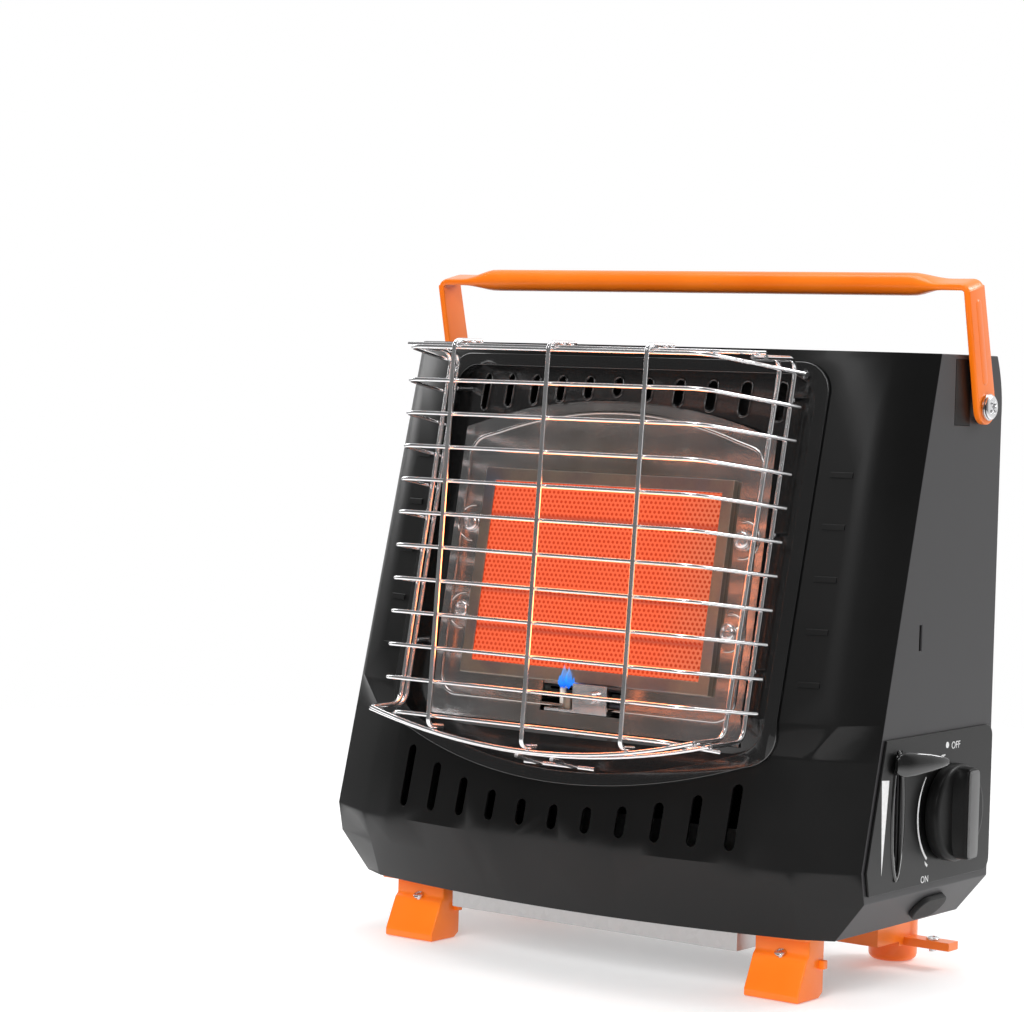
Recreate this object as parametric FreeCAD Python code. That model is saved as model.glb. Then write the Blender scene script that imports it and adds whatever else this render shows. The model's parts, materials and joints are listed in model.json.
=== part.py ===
import FreeCAD, Part
import math
import os

Vec = FreeCAD.Vector

# Heater standing on four feet: X to the viewer's right, front towards -Y, +Z up, millimetres.

# Cabinet
body_half = 135.0
body_top = 261.0
body_back = 88.0
panel_low = 43.0
base_level = 26.5
sheet = 1.2
edge_low_z = 55.7
edge_low_y = -14.8
lean = 0.2466
bevel_width = 13.0
bevel_low_width = 25.3
face_inset = 40.0
face_low_inset = 41.0
chin_inset = 14.0
chin_bevel_step = 1.4
bevel_x = body_half - bevel_width
bevel_low_x = body_half - bevel_low_width
face_half = body_half - face_inset
face_low_half = body_half - face_low_inset
chin_side_x = body_half - chin_inset
panel_corner = 26.0

# Bow of the front at each level, measured forward of the side edge
bow_top = 35.5
bow_mid = 33.0
bow_low = 25.5
bow_end_top = 21.7
bow_end_mid = 21.0
bow_end_low = 17.5
bow_bevel_top = 14.0
bow_bevel_mid = 14.0
bow_bevel_low = 13.0
step_top_z = 113.0
step_low_z = 98.0
chin_mid_y = -30.0
chin_end_y = -20.0
chin_bevel_y = -17.0
chin_side_y = -10.0

# Opening in the front and its lip
opening_inset = 1.8
opening_half = face_half - opening_inset
opening_top = 251.0
opening_corner = 13.0
opening_low_inset = 10.2
opening_low_half = opening_half - opening_low_inset
opening_low_z = 99.0
opening_mid_z = 85.0
lip_width = 5.2
lip_proud = 2.0
lip_depth = 6.0
recess_depth = 4.0
vent_count = 11
vent_margin = 17.2
vent_pitch = (opening_half - vent_margin) / (vent_count // 2)
vent_width = 4.4
vent_top = 247.5
vent_short = 8.0
vent_long = 16.0
slot_count = 11
slot_margin = 10.25
slot_pitch = (face_low_half - slot_margin) / (slot_count // 2)
slot_width = 4.4
slot_low = 61.0
slot_mid_height = 10.0
slot_end_height = 26.0
dash_levels = 5
dash_top = 211.0
dash_pitch = 20.8
dash_length = 9.0
dash_height = 2.2
dash_proud = 0.6
dash_inset = 27.0
dash_x = body_half - dash_inset
slit_y = 25.0
slit_low = 141.0
slit_high = 151.5
slit_width = 1.8

# Burner, tilted back with the front
burner_tilt = 9.95
reflector_inset = 13.2
reflector_half = opening_half - reflector_inset
plaque_margin = 20.0
plaque_width = 2 * (reflector_half - plaque_margin)
plaque_height = 80.5
plaque_thick = 12.0
plaque_groove = 0.8
groove_count = 4
frame_width = 4.0
housing_wall = 1.0
plaque_low_y = -20.369
plaque_low = 118.88
burner_rise = (plaque_height / 2 + frame_width + housing_wall) * math.cos(math.radians(burner_tilt))
burner_y = plaque_low_y + burner_rise * math.tan(math.radians(burner_tilt))
burner_z = plaque_low + burner_rise
frame_lip = 1.5
frame_sheet = 0.8
housing_depth = 28.0
reflector_set_back = 2.0
reflector_sheet = 0.8
reflector_edge_top = 224.0
reflector_mid_top = 237.5
reflector_low = 101.0
reflector_flange = 4.0
screw_high = 183.3
screw_low = 145.9
screw_high_inset = 10.1
screw_low_inset = 11.4
screw_head = 3.6
screw_head_height = 2.0
screw_shank = 1.6
screw_length = 6.0
washer_radius = 4.4
washer_thick = 0.8
pilot_drop = 4.88
pilot_z = plaque_low - pilot_drop
shield_drop = 5.0
shield_z = pilot_z - shield_drop
pilot_half = 21.0
pilot_height = 14.0

# Wire guard
wire_cross = 1.6
wire_upright = 2.0
cross_count = 11
cross_top = 258.1
cross_pitch = 13.9
cross_y_top = -47.0
cross_y_step = -0.95
cross_bend_radius = 9.0
side_outer_inset = 4.4
side_outer_x = opening_half - side_outer_inset
cross_bend_inset = 13.3
cross_bend_x = side_outer_x - cross_bend_inset
side_outer_y = 1.4
side_outer_z = 251.7
side_outer_drop = 13.59
side_outer_step = -2.83
side_inner_gap = 8.1
weld_offset = 2.02
weld_gap = 0.05
butt_gap = 0.3
arc_rise = 1.0
cross_tail = 3.0
upright_inset = 26.6
upright_x = cross_bend_x - upright_inset
upright_top = 261.0
upright_low = 101.0
upright_mid_low = 97.0
upright_drop = 0.9
upright_bend = 3.0
last_cross_z = 105.0
last_cross_inset = 7.5
last_cross_x = cross_bend_x - last_cross_inset
side_bend = 6.0

# Handle
pivot_y = 68.0
pivot_z = 239.7
handle_reach = 51.5
handle_lean = 13.8
arm_width = 14.5
arm_thick = 3.0
arm_gap = 1.0
arm_top_width = 13.0
grip_diameter = 9.6
strap_width = 12.0
strap_thick = 3.0
strap_length = 13.0
taper_length = 12.0
taper_step = 0.05
pivot_radius = 2.5
pivot_clearance = 0.05
pivot_head_radius = 5.0
pivot_head_height = 2.0
end_play = 0.3

# Control panel on the right side
control_front = 5.0
control_low = 46.0
control_high = 107.0
control_thick = 1.2
control_margin = 2.0
control_corner = 5.0
knob_y = 50.0
knob_z = 74.0
knob_radius = 20.0
knob_base_height = 6.0
knob_height = 12.4
knob_gap = 0.6
knob_reach = body_half + control_thick + knob_gap + knob_height
knob_insert_thick = 1.0
knob_edge = 1.0
grip_width = 9.0
shaft_radius = 3.0
shaft_clearance = 0.05
lever_y = 10.0
lever_z = 97.0
lever_travel = 42.0
lever_slot_width = 4.0
lever_width = 8.0
lever_tab_reach = 12.5
lever_tab_length = 18.0

# Cartridge bay and gas parts
cartridge_radius = 34.5
cartridge_y = 47.0
cartridge_z = 70.0
cartridge_left_inset = 23.0
cartridge_right_inset = 57.0
cartridge_left = cartridge_left_inset - body_half
cartridge_right = body_half - cartridge_right_inset
bay_clearance = 1.5
valve_inset = 51.0
valve_left = body_half - valve_inset
valve_radius = 19.0
valve_back_inset = 23.0
valve_back = body_half - valve_back_inset
valve_neck_radius = 8.0
valve_neck = 13.0
mixer_y = 36.0
mixer_z = 130.0
mixer_radius = 10.0
mixer_inset = 39.0
mixer_right = body_half - mixer_inset
pipe_inset = 29.0
pipe_x = body_half - pipe_inset
mixer_left = 20.0
pipe_radius = 2.5
lead_diameter = 2.5

# Cartridge door in the back
door_left_inset = 17.0
door_right_inset = 51.0
door_left = door_left_inset - body_half
door_right = body_half - door_right_inset
door_low = 36.0
door_high = 104.0
door_gap = 0.8
door_pin_radius = 1.5
door_pin_clearance = 0.06
barrel_radius = 3.2

# Feet and tray
foot_front_y = -4.5
foot_front_depth = 19.0
foot_in_inset = 54.0
foot_front_width = 26.0
foot_front_in = body_half - foot_in_inset
foot_front_out = foot_front_in + foot_front_width
foot_overhang = 6.0
foot_flange_thick = 2.4
foot_face_high = 16.5
foot_face_low = 3.0
foot_flare = 6.0
foot_pocket = 1.6
foot_screw_z = 20.8
foot_tab = 2.5
foot_rear_y = 96.0
foot_rear_radius = 10.5
foot_rear_inset = 49.0
foot_rear_x = body_half - foot_rear_inset
foot_flange_reach = 32.0
foot_flange_out = foot_rear_x + foot_flange_reach
foot_screw_reach = 22.0
tray_low = 16.0
tray_front = -9.0

# Centre of the standing outline, which is the origin of the part
handle_outer = body_half + arm_gap + arm_thick + end_play + washer_thick + pivot_head_height
guard_slope = cross_y_step / cross_pitch
upright_y_top = cross_y_top - (wire_cross + wire_upright) / 2
guard_front_y = upright_y_top + guard_slope * (upright_top - upright_mid_low) - wire_upright / 2
foot_back_y = foot_rear_y + foot_rear_radius
centre_x = (knob_reach - handle_outer) / 2
centre_y = (foot_back_y + guard_front_y) / 2


# Helpers
def block(x0, x1, y0, y1, z0, z1):
    return Part.makeBox(x1 - x0, y1 - y0, z1 - z0, Vec(x0, y0, z0))


def rod(start, end, radius):
    along = end - start
    return Part.makeCylinder(radius, along.Length, start, along)


def prism(points, push):
    return Part.Face(Part.makePolygon(points + [points[0]])).extrude(push)


def fuse(shapes):
    whole = shapes[0]
    for shape in shapes[1:]:
        whole = whole.fuse(shape)
    return whole.removeSplitter()


def loose(shapes):
    return Part.makeCompound(shapes)


def mirror_x(shape):
    return shape.mirror(Vec(0, 0, 0), Vec(1, 0, 0))


def both_sides(shape):
    return [shape, mirror_x(shape)]


def edge_y(z):
    return edge_low_y + lean * (z - edge_low_z)


def bent_edges(points, radius):
    edges = []
    start = points[0]
    for index in range(1, len(points) - 1):
        corner = points[index]
        into = (corner - points[index - 1]).normalize()
        out = (points[index + 1] - corner).normalize()
        turn = into.getAngle(out)
        if turn < 0.01:
            continue
        back = radius * math.tan(turn / 2)
        first = corner - into * back
        last = corner + out * back
        inward = (out - into).normalize()
        centre = corner + inward * (radius / math.cos(turn / 2))
        middle = centre - inward * radius
        if (first - start).Length > 0.001:
            edges.append(Part.LineSegment(start, first).toShape())
        edges.append(Part.Arc(first, middle, last).toShape())
        start = last
    edges.append(Part.LineSegment(start, points[-1]).toShape())
    return edges


def wire_along(path, diameter):
    first = path.OrderedEdges[0]
    tangent = first.tangentAt(first.FirstParameter)
    start = first.valueAt(first.FirstParameter)
    ring = Part.Wire(Part.Circle(start, tangent, diameter / 2).toShape())
    return path.makePipeShell([ring], True, False)


def bent_wire(points, diameter, radius):
    return wire_along(Part.Wire(bent_edges(points, radius)), diameter)


def arc_wire(left, middle, right, diameter):
    return wire_along(Part.Wire(Part.Arc(left, middle, right).toShape()), diameter)


# Cabinet
def plan_section(level, corners, inset, back_y):
    side_x, side_y, bevel, bevel_y, end, end_y, mid_y = corners
    outer = [(side_x - inset, side_y + inset), (bevel - inset * 0.4, bevel_y + inset)]
    end_right = Vec(end - inset * 0.2, end_y + inset, level)
    end_left = Vec(-end_right.x, end_right.y, level)
    right = [Vec(x, y, level) for x, y in outer]
    left = [Vec(-point.x, point.y, level) for point in right]
    right_back = Vec(right[0].x, back_y, level)
    left_back = Vec(left[0].x, back_y, level)
    walk = [end_right, right[1], right[0]]
    if inset > 0:
        walk = walk + [right_back, left_back]
    walk = walk + [left[0], left[1], end_left]
    edges = [Part.LineSegment(a, b).toShape() for a, b in zip(walk, walk[1:])]
    edges.append(Part.Arc(end_left, Vec(0, mid_y + inset, level), end_right).toShape())
    return Part.Wire(edges)


def bow_corners(level, bevel, steps):
    side_y = edge_y(level)
    bevel_step, end_x, end_step, mid_step = steps
    return (body_half, side_y, bevel, side_y - bevel_step, end_x, side_y - end_step, side_y - mid_step)


def front_levels():
    top_steps = (bow_bevel_top, face_half, bow_end_top, bow_top)
    mid_steps = (bow_bevel_mid, face_half, bow_end_mid, bow_mid)
    low_steps = (bow_bevel_low, face_low_half, bow_end_low, bow_low)
    blend = (panel_low - base_level) / (edge_low_z - base_level)
    chin = (chin_side_x, chin_side_y, bevel_low_x - chin_bevel_step, chin_bevel_y, face_low_half,
            chin_end_y, chin_mid_y)
    crease = bow_corners(edge_low_z, bevel_low_x, low_steps)
    middle = [low + (high - low) * blend for low, high in zip(chin, crease)]
    middle[0] = body_half
    middle[1] = edge_low_y + 2.8
    return [
        (base_level, chin),
        (panel_low, tuple(middle)),
        (edge_low_z, crease),
        (step_low_z, bow_corners(step_low_z, bevel_low_x, low_steps)),
        (step_top_z, bow_corners(step_top_z, bevel_x, mid_steps)),
        (body_top, bow_corners(body_top, bevel_x, top_steps)),
    ]


def front_body():
    wires = [plan_section(level, corners, 0, 0) for level, corners in front_levels()]
    return Part.makeLoft(wires, True, True)


def front_hollow():
    wires = []
    for level, corners in front_levels():
        height = level - sheet if level == body_top else level
        wires.append(plan_section(height, corners, sheet, corners[1] + 12))
    return Part.makeLoft(wires, True, True)


def opening_prism(offset):
    half = opening_half + offset
    top = opening_top + offset
    low_half = opening_low_half + offset * 0.6
    low = opening_low_z - offset
    turn = low + opening_corner + 1
    corner = opening_corner * 0.293
    front = -90.0

    def at(x, z):
        return Vec(x, front, z)

    edges = [
        Part.LineSegment(at(-half, turn), at(-half, top - opening_corner)).toShape(),
        Part.Arc(at(-half, top - opening_corner), at(-half + corner, top - corner),
                 at(-half + opening_corner, top)).toShape(),
        Part.LineSegment(at(-half + opening_corner, top), at(half - opening_corner, top)).toShape(),
        Part.Arc(at(half - opening_corner, top), at(half - corner, top - corner),
                 at(half, top - opening_corner)).toShape(),
        Part.LineSegment(at(half, top - opening_corner), at(half, turn)).toShape(),
        Part.Arc(at(half, turn), at(half - 2.4, low + 6.0), at(low_half, low)).toShape(),
        Part.Arc(at(low_half, low), at(0, opening_mid_z - offset), at(-low_half, low)).toShape(),
        Part.Arc(at(-low_half, low), at(-half + 2.4, low + 6.0), at(-half, turn)).toShape(),
    ]
    return Part.Face(Part.Wire(edges)).extrude(Vec(0, 160, 0))


def slot_height(step):
    share = abs(step) / (slot_count // 2)
    return slot_mid_height + (slot_end_height - slot_mid_height) * share ** 2


def front_slots():
    cuts = []
    half_count = slot_count // 2
    for step in range(-half_count, half_count + 1):
        middle = step * slot_pitch
        radius = slot_width / 2
        high = slot_low + slot_height(step)
        front = Vec(middle, -70, slot_low + radius)
        cuts.append(block(middle - radius, middle + radius, -70, -12, slot_low + radius, high - radius))
        cuts.append(Part.makeCylinder(radius, 58, front, Vec(0, 1, 0)))
        cuts.append(Part.makeCylinder(radius, 58, Vec(middle, -70, high - radius), Vec(0, 1, 0)))
    return loose(cuts)


def dash_bars(body):
    proud = body.translated(Vec(0, -dash_proud, 0))
    bars = []
    for row in range(dash_levels):
        level = dash_top - row * dash_pitch
        bar = block(dash_x - dash_length / 2, dash_x + dash_length / 2, -60, 60,
                    level - dash_height / 2, level + dash_height / 2)
        bars = bars + both_sides(bar)
    return proud.common(loose(bars))


def front_shell(body, hollow):
    shell = body.fuse(dash_bars(body)).cut(hollow)
    shell = shell.cut(opening_prism(lip_width))
    return shell.cut(front_slots())


def opening_lip(body):
    ring = opening_prism(lip_width).cut(opening_prism(0))
    ring = ring.common(body.translated(Vec(0, -lip_proud, 0)))
    return ring.cut(body.translated(Vec(0, lip_depth, 0)))


def reflector_prism(offset):
    half = reflector_half + offset
    low = reflector_low - offset
    edge_top = reflector_edge_top + offset
    front = -90.0
    points = [Vec(half, front, edge_top), Vec(half, front, low), Vec(-half, front, low),
              Vec(-half, front, edge_top)]
    edges = [Part.LineSegment(a, b).toShape() for a, b in zip(points, points[1:])]
    top = Vec(0, front, reflector_mid_top + offset)
    edges.append(Part.Arc(points[-1], top, points[0]).toShape())
    return Part.Face(Part.Wire(edges)).extrude(Vec(0, 160, 0))


def tilted(shape):
    turned = shape.copy()
    turned.rotate(Vec(0, 0, 0), Vec(1, 0, 0), -burner_tilt)
    turned.translate(Vec(0, burner_y, burner_z))
    return turned


def vent_cuts():
    cuts = []
    half_count = vent_count // 2
    for step in range(-half_count, half_count + 1):
        middle = step * vent_pitch
        length = vent_short + (vent_long - vent_short) * abs(step) / half_count
        half = vent_width / 2
        low = vent_top - length + half
        high = vent_top - half
        cuts.append(block(middle - half, middle + half, -60, 60, low, high))
        for level in (low, high):
            cuts.append(rod(Vec(middle, -60, level), Vec(middle, 60, level), half))
    return loose(cuts)


def recess_panel(body):
    front = body.translated(Vec(0, recess_depth, 0))
    skin = front.cut(body.translated(Vec(0, recess_depth + sheet, 0)))
    skin = skin.common(opening_prism(0)).cut(vent_cuts())
    wall = reflector_prism(0.3 + sheet).common(front)
    behind = tilted(block(-150, 150, reflector_set_back + reflector_flange + 1, 150, -150, 150))
    wall = wall.cut(behind).common(opening_prism(0))
    return skin.fuse(wall).cut(reflector_prism(0.3)).cut(vent_cuts())


def side_profile(inset):
    top = body_top - inset
    back = body_back - inset
    corner = panel_corner - inset
    mid = Vec(0, back - corner * 0.06, top - corner * 0.36)
    return top, back, corner, mid


def side_sheet():
    top, back, corner, mid = side_profile(0)
    start = body_half - sheet
    points = [Vec(start, back, top - corner), Vec(start, back, panel_low),
              Vec(start, edge_low_y + 2.8, panel_low), Vec(start, edge_low_y, edge_low_z),
              Vec(start, edge_y(top), top), Vec(start, back - 5, top)]
    edges = [Part.LineSegment(a, b).toShape() for a, b in zip(points, points[1:])]
    edges.append(Part.Arc(points[-1], Vec(start, mid.y, mid.z), points[0]).toShape())
    return Part.Face(Part.Wire(edges)).extrude(Vec(sheet, 0, 0))


def chamfer_sheet():
    front_high = edge_low_y + 2.8
    corners = [Vec(body_half, front_high, panel_low), Vec(body_half, body_back, panel_low),
               Vec(chin_side_x, body_back, base_level), Vec(chin_side_x, chin_side_y, base_level)]
    return prism(corners, Vec(-sheet, 0, 0))


def pivot_hole(radius):
    return rod(Vec(body_half - 8, pivot_y, pivot_z), Vec(body_half + 1, pivot_y, pivot_z), radius)


def inset_block(clearance):
    return block(body_half - 4, body_half + 0.0, 48 - clearance, 60.5 + clearance,
                 232 - clearance, 259 + clearance)


def side_panel(right):
    panel = side_sheet().fuse(chamfer_sheet())
    panel = panel.cut(pivot_hole(pivot_radius)).cut(inset_block(0))
    if right:
        shaft_hole = rod(Vec(body_half - 3, knob_y, knob_z), Vec(body_half + 1, knob_y, knob_z),
                         shaft_radius + 1)
        slit = block(body_half - 3, body_half + 1, slit_y, slit_y + slit_width, slit_low, slit_high)
        panel = panel.cut(shaft_hole).cut(lever_slot(body_half - 3, body_half + 1)).cut(slit)
        return panel
    return mirror_x(panel)


def lever_slot(x0, x1):
    half = lever_slot_width / 2
    low = lever_z - lever_travel - lever_width / 2 - 1
    high = lever_z + lever_width / 2 + 1
    return block(x0, x1, lever_y - half, lever_y + half, low, high)


def back_strip(inset):
    top, back, corner, mid = side_profile(inset)
    points = [Vec(0, back, top - corner), Vec(0, back, base_level), Vec(0, edge_y(body_top), base_level),
              Vec(0, edge_y(body_top), top), Vec(0, back - 5, top)]
    edges = [Part.LineSegment(a, b).toShape() for a, b in zip(points, points[1:])]
    edges.append(Part.Arc(points[-1], mid, points[0]).toShape())
    half = body_half - sheet
    solid = Part.Face(Part.Wire(edges)).extrude(Vec(2 * half, 0, 0))
    solid.translate(Vec(-half, 0, 0))
    return solid


def chin_wedge():
    shift = sheet
    corners = [Vec(body_half - shift, -60, panel_low), Vec(chin_side_x - shift, -60, base_level),
               Vec(chin_side_x - shift, -60, 0), Vec(200, -60, 0), Vec(200, -60, panel_low)]
    return prism(corners, Vec(0, 200, 0))


def louvre_cuts():
    cuts = []
    for row in range(5):
        level = 160 + row * 12
        for column in range(-4, 5):
            middle = column * 26
            cuts.append(block(middle - 9, middle + 9, body_back - 4, body_back + 2, level, level + 3))
    for column in range(-8, 9):
        middle = column * 13
        cuts.append(block(middle - 2, middle + 2, 48, 74, body_top - 4, body_top + 2))
    return loose(cuts)


def door_block(clearance, y0, y1):
    return block(door_left - clearance, door_right + clearance, y0, y1,
                 door_low - clearance, door_high + clearance)


def back_cover():
    inner = back_strip(sheet).fuse(block(-140, 140, 20, body_back - sheet, 0, body_top - 30))
    cover = back_strip(0).cut(inner)
    cover = cover.cut(loose(both_sides(chin_wedge()))).cut(louvre_cuts())
    return cover.cut(door_block(door_gap, body_back - 4, body_back + 2))


def base_pan():
    level, corners = front_levels()[0]
    wire = plan_section(level, corners, sheet, body_back - sheet)
    return Part.Face(wire).extrude(Vec(0, 0, sheet))


def tray():
    half = foot_front_in - foot_overhang - 1
    back = body_back - 10
    outer = block(-half, half, tray_front, back, tray_low, base_level)
    inner = block(1 - half, half - 1, tray_front + 1, back - 1, tray_low + 1, base_level + 1)
    return outer.cut(inner)


# Burner
def local_height(z):
    return (z - burner_z) / math.cos(math.radians(burner_tilt))


def ceramic_plaque():
    half_w = plaque_width / 2
    half_h = plaque_height / 2
    tile = block(-half_w, half_w, 0, plaque_thick, -half_h, half_h)
    step = plaque_height / (groove_count + 1)
    for row in range(groove_count):
        level = -half_h + (row + 1) * step
        tile = tile.cut(block(-half_w, half_w, -1, plaque_groove, level - 0.8, level + 0.8))
    return tilted(tile)


def frame_block(extra, y0, y1):
    half_w = plaque_width / 2 + extra
    half_h = plaque_height / 2 + extra
    return block(-half_w, half_w, y0, y1, -half_h, half_h)


def plaque_frame():
    ring = frame_block(frame_width, -frame_sheet, plaque_thick).cut(frame_block(0, 0, plaque_thick + 1))
    return tilted(ring.cut(frame_block(-frame_lip, -5, 5)))


def reflector_screw_places():
    high = local_height(screw_high)
    low = local_height(screw_low)
    high_x = reflector_half - screw_high_inset
    low_x = reflector_half - screw_low_inset
    return [(high_x, high), (-high_x, high), (low_x, low), (-low_x, low)]


def burner_housing():
    front = reflector_set_back + reflector_sheet
    back = front + housing_depth
    outer = frame_block(frame_width + housing_wall, front, back)
    for x, z in reflector_screw_places():
        side = 1 if x > 0 else -1
        start = plaque_width / 2 + frame_width
        ends = sorted([side * start, x + side * washer_radius])
        outer = outer.fuse(block(ends[0], ends[1], front, front + 2, z - 5, z + 5))
    hollow = frame_block(frame_width, front - 1, back - housing_wall)
    housing = outer.cut(hollow).cut(screw_holes(front - 1, front + 3))
    return tilted(housing)


def screw_holes(y0, y1):
    radius = screw_shank + 0.1
    return loose([rod(Vec(x, y0, z), Vec(x, y1, z), radius) for x, z in reflector_screw_places()])


def reflector():
    front = reflector_set_back
    slab = tilted(block(-150, 150, front, front + reflector_sheet, -150, 150))
    plate = reflector_prism(0).common(slab)
    ring = reflector_prism(0).cut(reflector_prism(-reflector_sheet))
    ring = ring.common(tilted(block(-150, 150, front, front + reflector_flange, -150, 150)))
    plate = plate.fuse(ring).cut(tilted(frame_block(frame_width, -20, 40)))
    plate = plate.cut(tilted(screw_holes(front - 3, front + 3)))
    half = pilot_height / 2
    window = block(-pilot_half, pilot_half, -60, 10, pilot_z - half, pilot_z + half)
    return plate.cut(window)


def reflector_screws():
    screws = []
    seat = reflector_set_back - washer_thick
    for x, z in reflector_screw_places():
        head = rod(Vec(x, seat, z), Vec(x, seat - screw_head_height, z), screw_head)
        head = head.cut(block(x - 2.2, x + 2.2, seat - 3, seat - 1.1, z - 0.4, z + 0.4))
        head = head.cut(block(x - 0.4, x + 0.4, seat - 3, seat - 1.1, z - 2.2, z + 2.2))
        shank = rod(Vec(x, seat - 0.1, z), Vec(x, seat + screw_length, z), screw_shank)
        screws.append(tilted(head.fuse(shank)))
    return loose(screws)


def reflector_washers():
    rings = []
    front = reflector_set_back
    for x, z in reflector_screw_places():
        start = Vec(x, front - washer_thick, z)
        end = Vec(x, front, z)
        rings.append(tilted(rod(start, end, washer_radius).cut(rod(start, end, screw_shank + 0.1))))
    return loose(rings)


def heat_shield():
    half = body_half - sheet
    plate = block(-half, half, 0.5, body_back - sheet, shield_z, shield_z + 0.8)
    legs = block(36, 50, -1, 7, shield_z, shield_z + 14)
    plate = fuse([plate] + both_sides(legs))
    plate = plate.cut(tilted(frame_block(frame_width + 1, reflector_set_back - 5, 80)))
    plate = plate.cut(tilted(block(-150, 150, -60, reflector_set_back + reflector_flange + 0.5, -150, 150)))
    hole = rod(Vec(pipe_x, cartridge_y, shield_z - 5), Vec(pipe_x, cartridge_y, shield_z + 5), pipe_radius + 1.5)
    return plate.cut(hole)


def pilot_bracket():
    strip = block(-16, 16, -24, 9, shield_z - 1.2, shield_z)
    upright = block(-1.5, 16, -24, -22.8, shield_z - 1.2, pilot_z + 6)
    hole = rod(Vec(-12, -16, shield_z - 5), Vec(-12, -16, shield_z + 5), 1.6)
    notch = rod(Vec(9, -30, pilot_z + 1), Vec(9, -10, pilot_z + 1), 2.6)
    return strip.fuse(upright).cut(hole).cut(notch)


def pilot_burner():
    tube = rod(Vec(-6, -20, shield_z), Vec(-6, -20, pilot_z + 1), 2.4)
    mouth = rod(Vec(-6, -20, pilot_z - 1), Vec(-6, -20, pilot_z + 3), 1.5)
    return tube.cut(mouth)


def spark_electrode():
    stem = rod(Vec(-12, -16, shield_z - 3.5), Vec(-12, -16, pilot_z + 3), 1.5)
    tip = rod(Vec(-12, -16, pilot_z + 2), Vec(-8.5, -19, pilot_z + 3.6), 0.6)
    boot = rod(Vec(-12, -12, shield_z - 3.5), Vec(-12, -17, shield_z - 3.5), 1.8)
    return fuse([stem, tip, boot])


def thermocouple():
    probe = rod(Vec(9, -14, pilot_z + 1), Vec(9, -27, pilot_z + 1), 2.5)
    foot = block(7.5, 10.5, -17, -14, shield_z, pilot_z)
    return probe.fuse(foot)


def mixer_tube():
    corner = Vec(mixer_left - 14, mixer_y, mixer_z)
    start = Vec(mixer_right, mixer_y, mixer_z)
    end = Vec(corner.x, 4, mixer_z)
    tube = bent_wire([start, corner, end], 2 * mixer_radius, mixer_radius + 4)
    mouth = Part.makeCone(mixer_radius, mixer_radius + 4, 6, start - Vec(6, 0, 0), Vec(1, 0, 0))
    bore = bent_wire([start + Vec(1, 0, 0), corner, end], 2 * mixer_radius - 2.4, mixer_radius + 4)
    tube = tube.fuse(mouth).cut(bore)
    tube = tube.cut(Part.makeCone(mixer_radius - 1.2, mixer_radius + 2.8, 6.1, start - Vec(6, 0, 0),
                                  Vec(1, 0, 0)))
    return tube.cut(tilted(frame_block(frame_width + 1, -60, reflector_set_back + reflector_sheet
                                       + housing_depth)))


def injector_bracket():
    low = shield_z + 0.8
    start = mixer_right - 14
    end = mixer_right + 8
    floor = block(start, end + 4, mixer_y - 8, mixer_y + 8, low, low + 1.5)
    near = block(start, start + 1.5, mixer_y - 8, mixer_y + 8, low, mixer_z + 6)
    far = block(end, end + 2, mixer_y - 8, mixer_y + 8, low, mixer_z + 8)
    near = near.cut(rod(Vec(start - 2, mixer_y, mixer_z), Vec(start + 8, mixer_y, mixer_z), mixer_radius))
    far = far.cut(rod(Vec(end - 4, mixer_y, mixer_z), Vec(end + 6, mixer_y, mixer_z), 4))
    return fuse([floor, near, far])


def gas_injector():
    end = Vec(mixer_right + 16, mixer_y, mixer_z)
    body = rod(end - Vec(14, 0, 0), end, 4)
    nut = rod(end - Vec(6, 0, 0), end, 6)
    return body.fuse(nut)


def gas_pipe():
    low = cartridge_z + 18
    points = [Vec(pipe_x, cartridge_y, low), Vec(pipe_x, cartridge_y, shield_z + 5),
              Vec(pipe_x + 19, mixer_y, mixer_z), Vec(mixer_right + 16, mixer_y, mixer_z)]
    return bent_wire(points, 2 * pipe_radius, 4.5).cut(valve_core())


# Gas valve and cartridge bay
def valve_core():
    start = Vec(valve_left, cartridge_y, cartridge_z)
    return rod(start, Vec(valve_back, cartridge_y, cartridge_z), valve_radius)


def valve_body():
    start = Vec(valve_back - 1, knob_y, knob_z)
    end = start + Vec(valve_neck, 0, 0)
    neck = rod(start, end, valve_neck_radius)
    bore = rod(start + Vec(1, 0, 0), end + Vec(1, 0, 0), shaft_radius + shaft_clearance)
    return valve_core().fuse(neck).cut(bore)


def valve_bracket():
    low = base_level + sheet
    end = valve_back + 1.5
    high = knob_z + valve_radius + 1
    half = 1.5 * valve_radius - 0.5
    plate = block(valve_back, end, knob_y - half, knob_y + half, low, high)
    foot = block(valve_back - 10, end, knob_y - half, knob_y + half, low, low + sheet)
    neck = rod(Vec(valve_back - 12, knob_y, knob_z), Vec(valve_back + 18, knob_y, knob_z), valve_neck_radius + 0.05)
    return plate.fuse(foot).cut(neck)


def cartridge_collar():
    start = Vec(cartridge_right + 0.5, cartridge_y, cartridge_z)
    end = Vec(valve_left, cartridge_y, cartridge_z)
    return rod(start, end, 14).cut(rod(start, end, 6))


def cartridge_cradle():
    start = Vec(cartridge_left, cartridge_y, cartridge_z)
    end = Vec(cartridge_right - 6, cartridge_y, cartridge_z)
    inner = cartridge_radius + bay_clearance
    trough = rod(start, end, inner + sheet).cut(rod(start - Vec(1, 0, 0), end + Vec(1, 0, 0), inner))
    trough = trough.cut(block(-150, 150, -20, 120, cartridge_z - 20, 150))
    feet = []
    for x in (-90, 40):
        foot = block(x, x + 12, cartridge_y - 14, cartridge_y + 14, base_level + sheet, cartridge_z)
        feet.append(foot.cut(rod(start - Vec(1, 0, 0), end + Vec(1, 0, 0), inner + 0.6)))
    cradle = fuse([trough] + feet)
    return cradle.cut(block(-150, 150, -20, 120, cartridge_z - 20, 150))


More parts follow.
